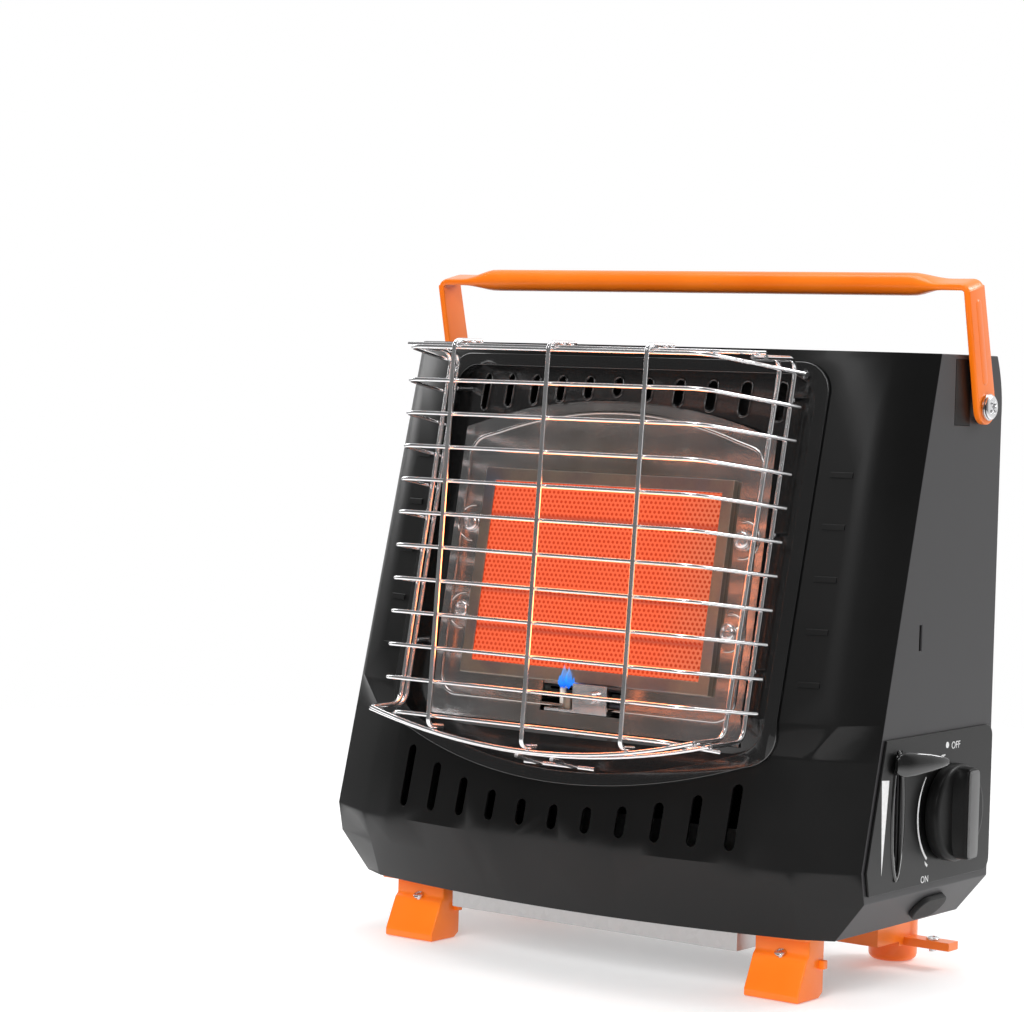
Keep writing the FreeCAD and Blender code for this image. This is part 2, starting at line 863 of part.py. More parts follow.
def piezo_igniter():
    return rod(Vec(valve_back - 20, 74, 84), Vec(valve_back, 74, 84), 6)


def cord_path(points):
    edges = []
    start = points[0]
    for before, corner, after in zip(points, points[1:], points[2:]):
        into = corner - before
        out = after - corner
        turn = into.getAngle(out)
        back = 0.45 * min(into.Length, out.Length)
        radius = back / math.tan(turn / 2)
        into.normalize()
        out.normalize()
        first = corner - into * back
        last = corner + out * back
        inward = (out - into).normalize()
        middle = corner + inward * (radius / math.cos(turn / 2) - radius)
        edges.append(Part.LineSegment(start, first).toShape())
        edges.append(Part.Arc(first, middle, last).toShape())
        start = last
    edges.append(Part.LineSegment(start, points[-1]).toShape())
    return Part.Wire(edges)


def igniter_lead():
    level = shield_z - 3.5
    start = Vec(valve_back - 20, 74, 84)
    points = [start, start - Vec(7, 0, 0), start + Vec(-11, -9, 9), start + Vec(-12, -26, 18),
              start + Vec(-17, -46, level - 84), Vec(60, 11, level), Vec(38, 4, level), Vec(14, 3, level), Vec(-5, 0.5, level),
              Vec(-12, -5, level), Vec(-12, -12, level)]
    return wire_along(cord_path(points), lead_diameter)


# Cartridge door
def door_axis(x):
    return Vec(x, body_back + 0.4 + barrel_radius, door_low - 2)


def knuckle_spans(on_door):
    length = (door_right - door_left) / 9
    first = 1 if on_door else 0
    spans = []
    for index in range(first, 9, 2):
        start = door_left + index * length
        spans.append((start + 0.3, start + length - 0.3))
    return spans


def cartridge_door():
    door = door_block(0, body_back - sheet, body_back)
    axis = door_axis(0)
    for x0, x1 in knuckle_spans(True):
        barrel = rod(door_axis(x0), door_axis(x1), barrel_radius)
        arm = block(x0, x1, body_back + 0.4, axis.y, axis.z, door_low + 3)
        pad = block(x0, x1, body_back - 0.2, body_back + 0.4, door_low + 1, door_low + 3)
        door = door.fuse(barrel).fuse(arm).fuse(pad)
    door = door.cut(rod(door_axis(door_left), door_axis(door_right), door_pin_radius + door_pin_clearance))
    for row in range(3):
        level = door_low + 22 + row * 12
        door = door.cut(block(-80, 46, body_back - 3, body_back + 1, level, level + 3))
    return door


def hinge_knuckles():
    axis = door_axis(0)
    parts = []
    for x0, x1 in knuckle_spans(False):
        barrel = rod(door_axis(x0), door_axis(x1), barrel_radius)
        arm = block(x0, x1, body_back, axis.y, axis.z - barrel_radius, axis.z - 0.5)
        piece = barrel.fuse(arm)
        parts.append(piece.cut(rod(door_axis(x0), door_axis(x1), door_pin_radius)))
    return loose(parts)


def hinge_pin():
    return rod(door_axis(door_left), door_axis(door_right), door_pin_radius)


def door_pull():
    middle = (door_left + door_right) / 2
    pull = block(middle - 14, middle + 14, body_back, body_back + 3, door_high - 14, door_high - 4)
    return pull.cut(block(middle - 11, middle + 11, body_back + 1.5, body_back + 4,
                          door_high - 11, door_high - 7))


def door_catch():
    middle = (door_left + door_right) / 2
    inside = body_back - sheet
    lower = block(middle - 9, middle + 9, inside - 5, inside - 0.3, door_high - 5, door_high + 0.8)
    upper = block(middle - 9, middle + 9, inside - 5, inside, door_high + 0.8, shield_z)
    return lower.fuse(upper)


# Control panel, knob and lock lever
def control_panel():
    start = body_half
    back = body_back - 1
    margin = control_margin
    points = [Vec(start, edge_low_y + margin + 2.3, control_low), Vec(start, edge_low_y + margin, edge_low_z),
              Vec(start, edge_y(control_high) + margin, control_high), Vec(start, back, control_high),
              Vec(start, back, control_low)]
    plate = prism(points, Vec(control_thick, 0, 0))
    rear = [edge for edge in plate.Edges if edge.BoundBox.YMin > back - 0.1 and edge.BoundBox.XLength > 0.5]
    plate = plate.makeFillet(control_corner, rear)
    hole = rod(Vec(start - 1, knob_y, knob_z), Vec(start + 5, knob_y, knob_z), shaft_radius + 1)
    return plate.cut(hole).cut(lever_slot(start - 1, start + 5))


def control_knob():
    start = body_half + control_thick + knob_gap
    face = knob_reach - knob_insert_thick
    base = rod(Vec(start, knob_y, knob_z), Vec(start + knob_base_height, knob_y, knob_z), knob_radius)
    half = grip_width / 2
    reach = knob_radius - knob_edge
    grip = block(start, face, knob_y - half, knob_y + half, knob_z - reach, knob_z + reach)
    return base.fuse(grip)


def knob_insert():
    half = grip_width / 2 - knob_edge
    reach = knob_radius - 2 * knob_edge
    start = knob_reach - knob_insert_thick
    return block(start, knob_reach, knob_y - half, knob_y + half, knob_z - reach, knob_z + reach)


def valve_shaft():
    start = body_half + control_thick + knob_gap
    return rod(Vec(valve_back + end_play, knob_y, knob_z), Vec(start, knob_y, knob_z), shaft_radius)


def lock_lever():
    half = lever_slot_width / 2 - 0.3
    panel_face = body_half + control_thick
    inner = body_half - 7
    stem = block(inner, panel_face + 3, lever_y - half, lever_y + half, lever_z - 4, lever_z + 4)
    keeper = block(inner, inner + 2.5, lever_y - 5, lever_y + 5, lever_z - 6, lever_z + 6)
    start = panel_face + 0.4
    reach = start + lever_tab_reach
    end = lever_y + lever_tab_length
    low = lever_z - 5
    points = [Vec(start, lever_y - 5, low), Vec(start + 5, lever_y - 3, low), Vec(reach, end - 2, low),
              Vec(reach, end, low), Vec(start + 5, end - 3, low), Vec(start, lever_y + 6, low)]
    tab = prism(points, Vec(0, 0, 10))
    return fuse([stem, keeper, tab])


def lever_guide():
    inner = body_half - sheet
    low = lever_z - lever_travel - 9
    high = lever_z + 9
    start = body_half - 9
    rails = [block(start, inner, lever_y - 8, lever_y - 5.3, low, high),
             block(start, inner, lever_y + 5.3, lever_y + 8, low, high)]
    return loose(rails)


def bumper_plug():
    slab = block(-6, 6, -5, 5, 0, 2.5)
    for y in (-5, 5):
        slab = slab.fuse(Part.makeCylinder(6, 2.5, Vec(0, y, 0)))
    run = body_half - chin_side_x
    rise = panel_low - base_level
    slope = 90 + math.degrees(math.atan2(run, rise))
    slab.rotate(Vec(0, 0, 0), Vec(0, 1, 0), slope)
    slab.translate(Vec((body_half + chin_side_x) / 2, 49.5, (panel_low + base_level) / 2))
    return slab.removeSplitter()


# Handle
def leaned(shape):
    turned = shape.copy()
    turned.rotate(Vec(0, pivot_y, pivot_z), Vec(1, 0, 0), handle_lean)
    return turned


def oval(x, level, wide, tall):
    curve = Part.Ellipse(Vec(x, pivot_y + wide, level), Vec(x, pivot_y, level + tall), Vec(x, pivot_y, level))
    return Part.Wire(curve.toShape())


def handle_grip():
    end = body_half + arm_gap
    level = pivot_z + handle_reach
    flat_start = end - strap_length
    taper_start = flat_start - taper_length
    radius = grip_diameter / 2
    bar = rod(Vec(-taper_start, pivot_y, level), Vec(taper_start, pivot_y, level), radius)
    taper = Part.makeLoft([oval(taper_start, level, radius + 2 * taper_step, radius + taper_step),
                           oval(flat_start, level, strap_width / 2 - taper_step, strap_thick / 2 - taper_step)], True)
    strap = block(flat_start - 1, end, pivot_y - strap_width / 2, pivot_y + strap_width / 2,
                  level - strap_thick / 2, level + strap_thick / 2)
    return leaned(fuse([bar] + both_sides(taper) + both_sides(strap)))


def handle_arm():
    inner = body_half + arm_gap
    top = pivot_z + handle_reach + strap_thick / 2
    low = Vec(inner, pivot_y, pivot_z)
    across = Vec(arm_thick, 0, 0)
    wide = arm_width / 2
    narrow = arm_top_width / 2
    web = prism([Vec(inner, pivot_y - wide, pivot_z), Vec(inner, pivot_y - narrow, top),
                 Vec(inner, pivot_y + narrow, top), Vec(inner, pivot_y + wide, pivot_z)], across)
    arm = fuse([web, rod(low, low + across, wide)])
    arm = arm.cut(rod(low - across, low + across * 2, pivot_radius + pivot_clearance))
    return leaned(arm)


def handle_screws():
    inside = body_half - sheet
    seat = body_half + arm_gap + arm_thick + end_play + washer_thick
    head_end = seat + pivot_head_height
    head = rod(Vec(seat, pivot_y, pivot_z), Vec(head_end, pivot_y, pivot_z), pivot_head_radius)
    for reach_y, reach_z in ((3, 0.5), (0.5, 3)):
        head = head.cut(block(head_end - 1, head_end + 1, pivot_y - reach_y, pivot_y + reach_y,
                              pivot_z - reach_z, pivot_z + reach_z))
    shank = rod(Vec(inside - 5, pivot_y, pivot_z), Vec(seat, pivot_y, pivot_z), pivot_radius)
    nut = rod(Vec(inside - 4, pivot_y, pivot_z), Vec(inside, pivot_y, pivot_z), 4.5)
    return loose(both_sides(fuse([head, shank, nut])))


def handle_washers():
    outer_start = body_half + arm_gap + arm_thick + end_play
    rings = []
    for start, thick in ((body_half, arm_gap - end_play), (outer_start, washer_thick)):
        ring = rod(Vec(start, pivot_y, pivot_z), Vec(start + thick, pivot_y, pivot_z), 5.5)
        ring = ring.cut(rod(Vec(start - 1, pivot_y, pivot_z), Vec(start + 2, pivot_y, pivot_z), pivot_radius))
        rings = rings + both_sides(ring)
    return loose(rings)


# Wire guard
def cross_front(row):
    return cross_y_top + cross_y_step * row, cross_top - cross_pitch * row


def cross_side(row):
    return Vec(side_outer_x, side_outer_y + side_outer_step * row, side_outer_z - side_outer_drop * row)


def cross_edges():
    rows = []
    for row in range(cross_count):
        y, z = cross_front(row)
        bend = Vec(cross_bend_x, y, z)
        side = cross_side(row)
        tail = side + (side - bend).normalize() * cross_tail
        rows.append(bent_edges([Vec(-bend.x, y, z), bend, tail], cross_bend_radius))
    y = cross_front(cross_count)[0]
    points = [Vec(-last_cross_x, y, last_cross_z), Vec(last_cross_x, y, last_cross_z),
              Vec(cross_bend_x + 8.5, -41, last_cross_z - 4)]
    rows.append(bent_edges(points, cross_bend_radius))
    return rows


def guard_crosswires():
    wires = []
    for front, bend, tail in cross_edges():
        end = front.Vertexes[-1].Point
        wires.append(rod(Vec(-end.x, end.y, end.z), end, wire_cross / 2))
    return loose(wires)


def guard_returns():
    return loose([wire_along(Part.Wire([bend, tail]), wire_cross) for front, bend, tail in cross_edges()])


def side_line(inner, z):
    first, last = cross_side(0), cross_side(cross_count - 1)
    share = (first.z - z) / (first.z - last.z)
    y = first.y + (last.y - first.y) * share
    x = side_outer_x - weld_offset
    if not inner:
        return Vec(x, y, z)
    deep = first.y - cross_front(0)[0]
    shallow = last.y - cross_front(cross_count - 1)[0]
    slant = cross_bend_inset / deep + (cross_bend_inset / shallow - cross_bend_inset / deep) * share
    return Vec(x - side_inner_gap * slant, y - side_inner_gap, z)


def guard_side_wires():
    top = cross_top + arc_rise - (wire_cross + wire_upright) / 2 - weld_gap
    places = arc_ends()
    outer = [Vec(places[2][0], -24, top), side_line(False, top), side_line(False, 104.4),
             Vec(places[4][0], -51.5, 104.4)]
    inner = [Vec(places[1][0], -28.5, top), side_line(True, top), side_line(True, 105.8),
             Vec(places[3][0], -56, 105.8)]
    wires = []
    for points in (outer, inner):
        wires = wires + both_sides(bent_wire(points, wire_upright, side_bend))
    return loose(wires)


def arc_ends():
    upper = [(-9.6, -42, -45), (-3.1, -28.5, -38), (0.4, -24, -32)]
    lower = [(-6.8, -56, 105.8, 94.7), (-2.3, -51.5, 104.4, 93.4)]
    return [(side_outer_x + place[0],) + place[1:] for place in upper + lower]


def guard_arcs():
    top = cross_top + arc_rise
    front = wire_cross / 2 + weld_gap
    upper = arc_ends()[:3]
    lower = [(x, y - front, z, mid) for x, y, z, mid in arc_ends()[3:]]
    arcs = [arc_wire(Vec(-x, y, top), Vec(0, mid, top), Vec(x, y, top), wire_cross) for x, y, mid in upper]
    arcs += [arc_wire(Vec(-x, y, z), Vec(0, y, mid), Vec(x, y, z), wire_cross) for x, y, z, mid in lower]
    return loose(arcs)


def upright_edges():
    rows = []
    for side in (-1, 0, 1):
        x = side * upright_x
        low = upright_mid_low if side == 0 else upright_low
        low_y = upright_y_top + guard_slope * (upright_top - low)
        points = [Vec(x, -31, upright_top), Vec(x, upright_y_top, upright_top), Vec(x, low_y, low),
                  Vec(x, -50.5, low - upright_drop)]
        rows.append(bent_edges(points, upright_bend))
    return rows


def guard_uprights():
    return loose([wire_along(Part.Wire([edges[2]]), wire_upright) for edges in upright_edges()])


def guard_upright_ends():
    ends = []
    for edges in upright_edges():
        ends.append(wire_along(Part.Wire(edges[:2]), wire_upright))
        ends.append(wire_along(Part.Wire(edges[3:]), wire_upright))
    return loose(ends)


def guard_clip():
    bar = rod(Vec(-18, -33.3, 86.9), Vec(18, -33.3, 86.9), 1)
    arms = [rod(Vec(x, -33.3, 86.9), Vec(x, -51.3, 91.9), 1) for x in (-9, 9)]
    return fuse([bar] + arms)


def guard_hooks(body):
    hooks = []
    recess = body.translated(Vec(0, recess_depth, 0))
    for row in (1, 5, 9):
        start = side_line(False, cross_side(row).z + 2.4) + Vec(0, wire_upright / 2 + butt_gap, 0)
        hooks = hooks + both_sides(rod(start, start + Vec(0, 24, 0), 1).cut(recess))
    return loose(hooks)


# Feet
def front_foot(start):
    end = start + foot_front_width
    front = foot_front_y - foot_front_depth / 2
    back = foot_front_y + foot_front_depth / 2
    shelf = front + foot_flare
    top = base_level - foot_flange_thick
    points = [(front, 0), (front, foot_face_low), (shelf, foot_face_high), (shelf + foot_pocket, foot_face_high + 1.5),
              (shelf + foot_pocket, base_level), (back, base_level), (back, 2), (back - 3, 0)]
    foot = prism([Vec(start, y, z) for y, z in points], Vec(foot_front_width, 0, 0))
    flange = block(start - foot_overhang, end, shelf - 1.5, back, top, base_level)
    tab = block(end - 1, end + foot_tab, back - 4, back - 1, 12, 15.5)
    middle = (start + end) / 2
    hole = rod(Vec(middle, shelf - 2, foot_screw_z), Vec(middle, shelf + 8, foot_screw_z), screw_shank + 0.1)
    return fuse([foot, flange, tab]).cut(hole)


def rear_foot():
    pad = Part.makeCylinder(foot_rear_radius, 20, Vec(foot_rear_x, foot_rear_y, 0))
    pad = pad.makeFillet(3, [edge for edge in pad.Edges if edge.BoundBox.ZMax < 0.1])
    arm = block(foot_rear_x - 10, foot_rear_x + 10, 66, 86, 10, base_level)
    neck = block(foot_rear_x - 10, foot_rear_x + 10, 84, foot_rear_y, 8, 20)
    flange = block(foot_rear_x + 8, foot_flange_out, 88, 96, 8, 11.5)
    foot = fuse([pad, arm, neck, flange])
    x = foot_rear_x + foot_screw_reach
    return foot.cut(rod(Vec(x, 92, 0), Vec(x, 92, 20), screw_shank + 0.1))


def foot_screws():
    seat = foot_front_y - foot_front_depth / 2 + foot_flare + foot_pocket
    start = Vec((foot_front_in + foot_front_out) / 2, seat, foot_screw_z)
    screws = both_sides(rod(start, start + Vec(0, -1.5, 0), 2.6).fuse(rod(start, start + Vec(0, 6, 0), screw_shank)))
    lower = Vec(foot_rear_x + foot_screw_reach, 92, 11.5)
    pin = rod(lower - Vec(0, 0, 5), lower, screw_shank)
    return loose(screws + both_sides(rod(lower, lower + Vec(0, 0, 1.8), 3.4).fuse(pin)))


def build_parts():
    body = front_body()
    hollow = front_hollow()
    cover = back_cover()
    parts = {
        "front_shell": front_shell(body, hollow),
        "side_panel_right": side_panel(True),
        "side_panel_left": side_panel(False),
        "side_insets": loose(both_sides(inset_block(0))),
        "back_cover": cover,
        "base_pan": base_pan(),
        "tray": tray(),
        "opening_lip": opening_lip(body),
        "recess_panel": recess_panel(body),
        "reflector": reflector(),
        "reflector_screws": reflector_screws(),
        "reflector_washers": reflector_washers(),
        "ceramic_plaque": ceramic_plaque(),
        "plaque_frame": plaque_frame(),
        "burner_housing": burner_housing(),
        "heat_shield": heat_shield(),
        "pilot_bracket": pilot_bracket(),
        "pilot_burner": pilot_burner(),
        "spark_electrode": spark_electrode(),
        "thermocouple": thermocouple(),
        "mixer_tube": mixer_tube(),
        "injector_bracket": injector_bracket(),
        "gas_injector": gas_injector(),
        "gas_pipe": gas_pipe(),
        "valve_body": valve_body(),
        "valve_bracket": valve_bracket(),
        "cartridge_collar": cartridge_collar(),
        "cartridge_cradle": cartridge_cradle(),
        "piezo_igniter": piezo_igniter(),
        "igniter_lead": igniter_lead(),
        "cartridge_door": cartridge_door(),
        "hinge_knuckles": hinge_knuckles(),
        "hinge_pin": hinge_pin(),
        "door_pull": door_pull(),
        "door_catch": door_catch(),
        "control_panel": control_panel(),
        "control_knob": control_knob(),
        "knob_insert": knob_insert(),
        "valve_shaft": valve_shaft(),
        "lock_lever": lock_lever(),
        "lever_guide": lever_guide(),
        "bumper_plug": bumper_plug(),
        "handle_grip": handle_grip(),
        "handle_arm_right": handle_arm(),
        "handle_arm_left": mirror_x(handle_arm()),
        "handle_screws": handle_screws(),
        "handle_washers": handle_washers(),
        "guard_crosswires": guard_crosswires(),
        "guard_returns_right": guard_returns(),
        "guard_returns_left": mirror_x(guard_returns()),
        "guard_uprights": guard_uprights(),
        "guard_upright_ends": guard_upright_ends(),
        "guard_side_wires": guard_side_wires(),
        "guard_arcs": guard_arcs(),
        "guard_hooks": loose([guard_clip(), guard_hooks(body)]),
        "foot_front_right": front_foot(foot_front_in),
        "foot_front_left": front_foot(-foot_front_out),
        "foot_rear_right": rear_foot(),
        "foot_rear_left": mirror_x(rear_foot()),
        "foot_screws": foot_screws(),
    }
    return parts


def write_parts(parts):
    os.makedirs("parts", exist_ok=True)
    for name, shape in parts.items():
        shape.translate(Vec(-centre_x, -centre_y, 0))
        shape.exportStep("parts/" + name + ".step")
        print(name, len(shape.Solids), round(shape.Volume, 1), shape.isValid())


write_parts(build_parts())
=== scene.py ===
import bmesh
import bpy
import json
import math
from mathutils import Matrix, Vector
from mathutils.bvhtree import BVHTree


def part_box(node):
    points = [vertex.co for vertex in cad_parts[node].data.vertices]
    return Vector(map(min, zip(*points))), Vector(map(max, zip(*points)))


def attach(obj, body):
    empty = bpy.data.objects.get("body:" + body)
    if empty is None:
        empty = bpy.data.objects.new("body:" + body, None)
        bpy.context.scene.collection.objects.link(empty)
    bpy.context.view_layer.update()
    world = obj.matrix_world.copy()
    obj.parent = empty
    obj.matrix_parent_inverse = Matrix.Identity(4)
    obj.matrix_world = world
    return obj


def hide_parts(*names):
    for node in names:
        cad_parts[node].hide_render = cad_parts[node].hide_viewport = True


# Metres. X to the viewer's right, the burner faces -Y, Z up, the feet stand on the floor.
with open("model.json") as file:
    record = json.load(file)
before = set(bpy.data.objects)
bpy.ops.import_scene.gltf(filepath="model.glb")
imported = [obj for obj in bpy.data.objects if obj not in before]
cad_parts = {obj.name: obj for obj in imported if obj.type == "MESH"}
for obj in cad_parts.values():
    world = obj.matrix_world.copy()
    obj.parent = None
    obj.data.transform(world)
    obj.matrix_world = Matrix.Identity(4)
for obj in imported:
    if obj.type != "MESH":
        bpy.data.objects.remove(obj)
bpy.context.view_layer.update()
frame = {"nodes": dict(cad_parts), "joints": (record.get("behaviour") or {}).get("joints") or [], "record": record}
nodes = frame["nodes"]
print("frame loaded,", len(nodes), "nodes")

# The handle's pivot ties the sizes below, in millimetres from the cabinet's middle, to the frame
pivot = {"y": 68.0, "z": 239.7}
foldPlace = next(joint["pos_m"] for joint in frame["joints"] if joint["name"] == "handle_fold")
middleX = foldPlace[0]
middleY = foldPlace[1] - pivot["y"] / 1000


def at(x, y, z):
    # a place in millimetres from the cabinet's middle
    return Vector((middleX + x / 1000, middleY + y / 1000, z / 1000))


# Camera, from the photograph's perspective
cameraView = {"place": (736.2, -1025.7, 250.8), "yaw": 34.6, "pitch": 1.9, "roll": 1.7,
              "lens": 105.64, "sensor": 36, "shift": (-0.1558, -0.0345), "clip": (0.05, 200)}
cameraData = bpy.data.cameras.new("camera")
cameraData.lens = cameraView["lens"]
cameraData.sensor_width = cameraView["sensor"]
cameraData.sensor_fit = "HORIZONTAL"
cameraData.shift_x, cameraData.shift_y = cameraView["shift"]
cameraData.clip_start, cameraData.clip_end = cameraView["clip"]
camera = bpy.data.objects.new("camera", cameraData)
bpy.context.scene.collection.objects.link(camera)
turn = (Matrix.Rotation(math.radians(cameraView["yaw"]), 4, "Z")
        @ Matrix.Rotation(math.radians(90 - cameraView["pitch"]), 4, "X")
        @ Matrix.Rotation(math.radians(cameraView["roll"]), 4, "Z"))
camera.matrix_world = Matrix.Translation(at(*cameraView["place"])) @ turn
bpy.context.scene.camera = camera
bpy.context.scene.view_settings.view_transform = "Standard"
print("camera placed")


# Studio: white backdrop and floor, soft lights, and a dim room behind the camera for the paint to reflect
studio = {"backdrop": 1.0, "room": 0.15, "bright": 0.95, "behind": (0.12, 0.97, 0.2), "turn": (0.12, 0.6),
          "floor": (0.80, 0.80, 0.805, 1), "floorPatch": 0.83, "floorGlow": 0.24, "floorFade": (0.35, 0.95),
          "floorReach": 30, "floorDrop": 0.0003}
# each lamp: its place and aim, its width and height, its watts
lamps = {"light_top": ((-0.2, -0.2, 1.7), (0, 0, 0.15), 1.2, 0.9, 12),
         "light_left": ((-1.9, 0.3, 1.0), (0, 0, 0.15), 0.5, 1.2, 10),
         "light_right": ((0.75, 0.8, 1.0), (0.14, 0.02, 0.24), 0.4, 0.5, 7),
         "light_front": ((0.5, -1.9, 1.5), (0.05, 0, 0.12), 0.45, 0.6, 8),
         "light_fill": ((0.5, -2.2, 1.2), (0, 0, 0.12), 1.6, 1.2, 42)}
world = bpy.data.worlds.new("studio")
bpy.context.scene.world = world
world.use_nodes = True


def softLight(name, place, target, width, height, power):
    data = bpy.data.lights.new(name, "AREA")
    data.shape = "RECTANGLE"
    data.size = width
    data.size_y = height
    data.energy = power
    lamp = bpy.data.objects.new(name, data)
    bpy.context.scene.collection.objects.link(lamp)
    lamp.location = place
    lamp.rotation_euler = (Vector(target) - Vector(place)).to_track_quat("-Z", "Y").to_euler()
    return lamp


for name, settings in lamps.items():
    lamp = softLight(name, *settings)
    lamp.visible_glossy = name != "light_fill"  # the fill lights the colours without a glare on the paint


# Shader maths: a wrapped socket, so that expressions add the nodes
class Socket:
    def __init__(self, maker, output):
        self.maker = maker
        self.output = output

    def math(self, operation, *others):
        return self.maker.maths(operation, self, *others)

    def __add__(self, other):
        return self.math("ADD", other)

    def __radd__(self, other):
        return self.math("ADD", other)

    def __sub__(self, other):
        return self.math("SUBTRACT", other)

    def __rsub__(self, other):
        return self.maker.maths("SUBTRACT", other, self)

    def __mul__(self, other):
        return self.math("MULTIPLY", other)

    def __rmul__(self, other):
        return self.math("MULTIPLY", other)

    def __truediv__(self, other):
        return self.math("DIVIDE", other)

    def __rtruediv__(self, other):
        return self.maker.maths("DIVIDE", other, self)


class Finish:
    # one material: its shader, and node() for everything that feeds it
    def __init__(self, name, settings, tree=None):
        self.material = None if tree else bpy.data.materials.new(name)
        if self.material:
            self.material.use_nodes = True
        self.tree = tree or self.material.node_tree
        self.shader = self.tree.nodes["Background" if tree else "Principled BSDF"]
        self.set(settings)

    def set(self, settings):
        for words, value in settings.items():
            socket = self.shader.inputs[words]
            if isinstance(value, Socket):
                self.tree.links.new(value.output, socket)
            else:
                socket.default_value = value

    def node(self, kind, settings=None, inputs=(), output=0):
        made = self.tree.nodes.new(kind)
        for words, value in (settings or {}).items():
            if words == "stops":
                ramp = made.color_ramp
                while len(ramp.elements) < len(value):
                    ramp.elements.new(0.5)
                for element, (place, color) in zip(ramp.elements, value):
                    element.position = place
                    element.color = color
            else:
                setattr(made, words, value)
        pairs = inputs.items() if isinstance(inputs, dict) else enumerate(inputs)
        for key, value in pairs:
            if isinstance(value, Socket):
                self.tree.links.new(value.output, made.inputs[key])
            else:
                made.inputs[key].default_value = value
        return Socket(self, made.outputs[output])

    def maths(self, operation, *values):
        return self.node("ShaderNodeMath", {"operation": operation}, values)

    def vectorMaths(self, operation, *values, output="Value"):
        return self.node("ShaderNodeVectorMath", {"operation": operation}, values, output)

    def spot(self):
        return self.node("ShaderNodeTexCoord", output="Object")

    def place(self, scale=(1, 1, 1), moved=(0, 0, 0)):
        return self.node("ShaderNodeMapping", {}, {"Vector": self.spot(), "Scale": scale, "Location": moved})

    def noise(self, scale, detail=3.0, stretch=(1, 1, 1), spot=None):
        return self.node("ShaderNodeTexNoise", {}, {"Vector": spot or self.place(stretch), "Scale": scale,
                                                    "Detail": detail})

    def ramp(self, value, stops):
        return self.node("ShaderNodeValToRGB", {"stops": stops}, [value])

    def blend(self, factor, first, second):
        return self.node("ShaderNodeMix", {"data_type": "RGBA"}, {0: factor, 6: first, 7: second}, output=2)

    def span(self, value, low, high, start=0.0, end=1.0):
        return self.node("ShaderNodeMapRange", {}, [value, start, end, low, high])

    def spread(self, noise, low, high):
        # noise seldom leaves 0.3 to 0.7, so that reach is drawn out from low to high
        return self.span(noise, low, high, 0.3, 0.7)

    def bump(self, height, strength, distance):
        return self.node("ShaderNodeBump", {}, {"Height": height, "Strength": strength, "Distance": distance})


def grey(value):
    return (value, value, value, 1.0)


def studioRoom():
    # the backdrop is white to look at; what the heater reflects is bright behind it and dim in front
    room = Finish("room", {"Color": grey(1.0)}, world.node_tree)
    way = room.node("ShaderNodeTexCoord", output="Generated")
    back = room.vectorMaths("DOT_PRODUCT", way, studio["behind"])
    sides = room.span(back, studio["room"], studio["bright"], *studio["turn"])
    seen = room.node("ShaderNodeLightPath", output="Is Camera Ray")
    room.set({"Strength": room.node("ShaderNodeMix", {"data_type": "FLOAT"},
                                    {0: seen, 2: sides, 3: studio["backdrop"]})})


studioRoom()
print("studio lit")


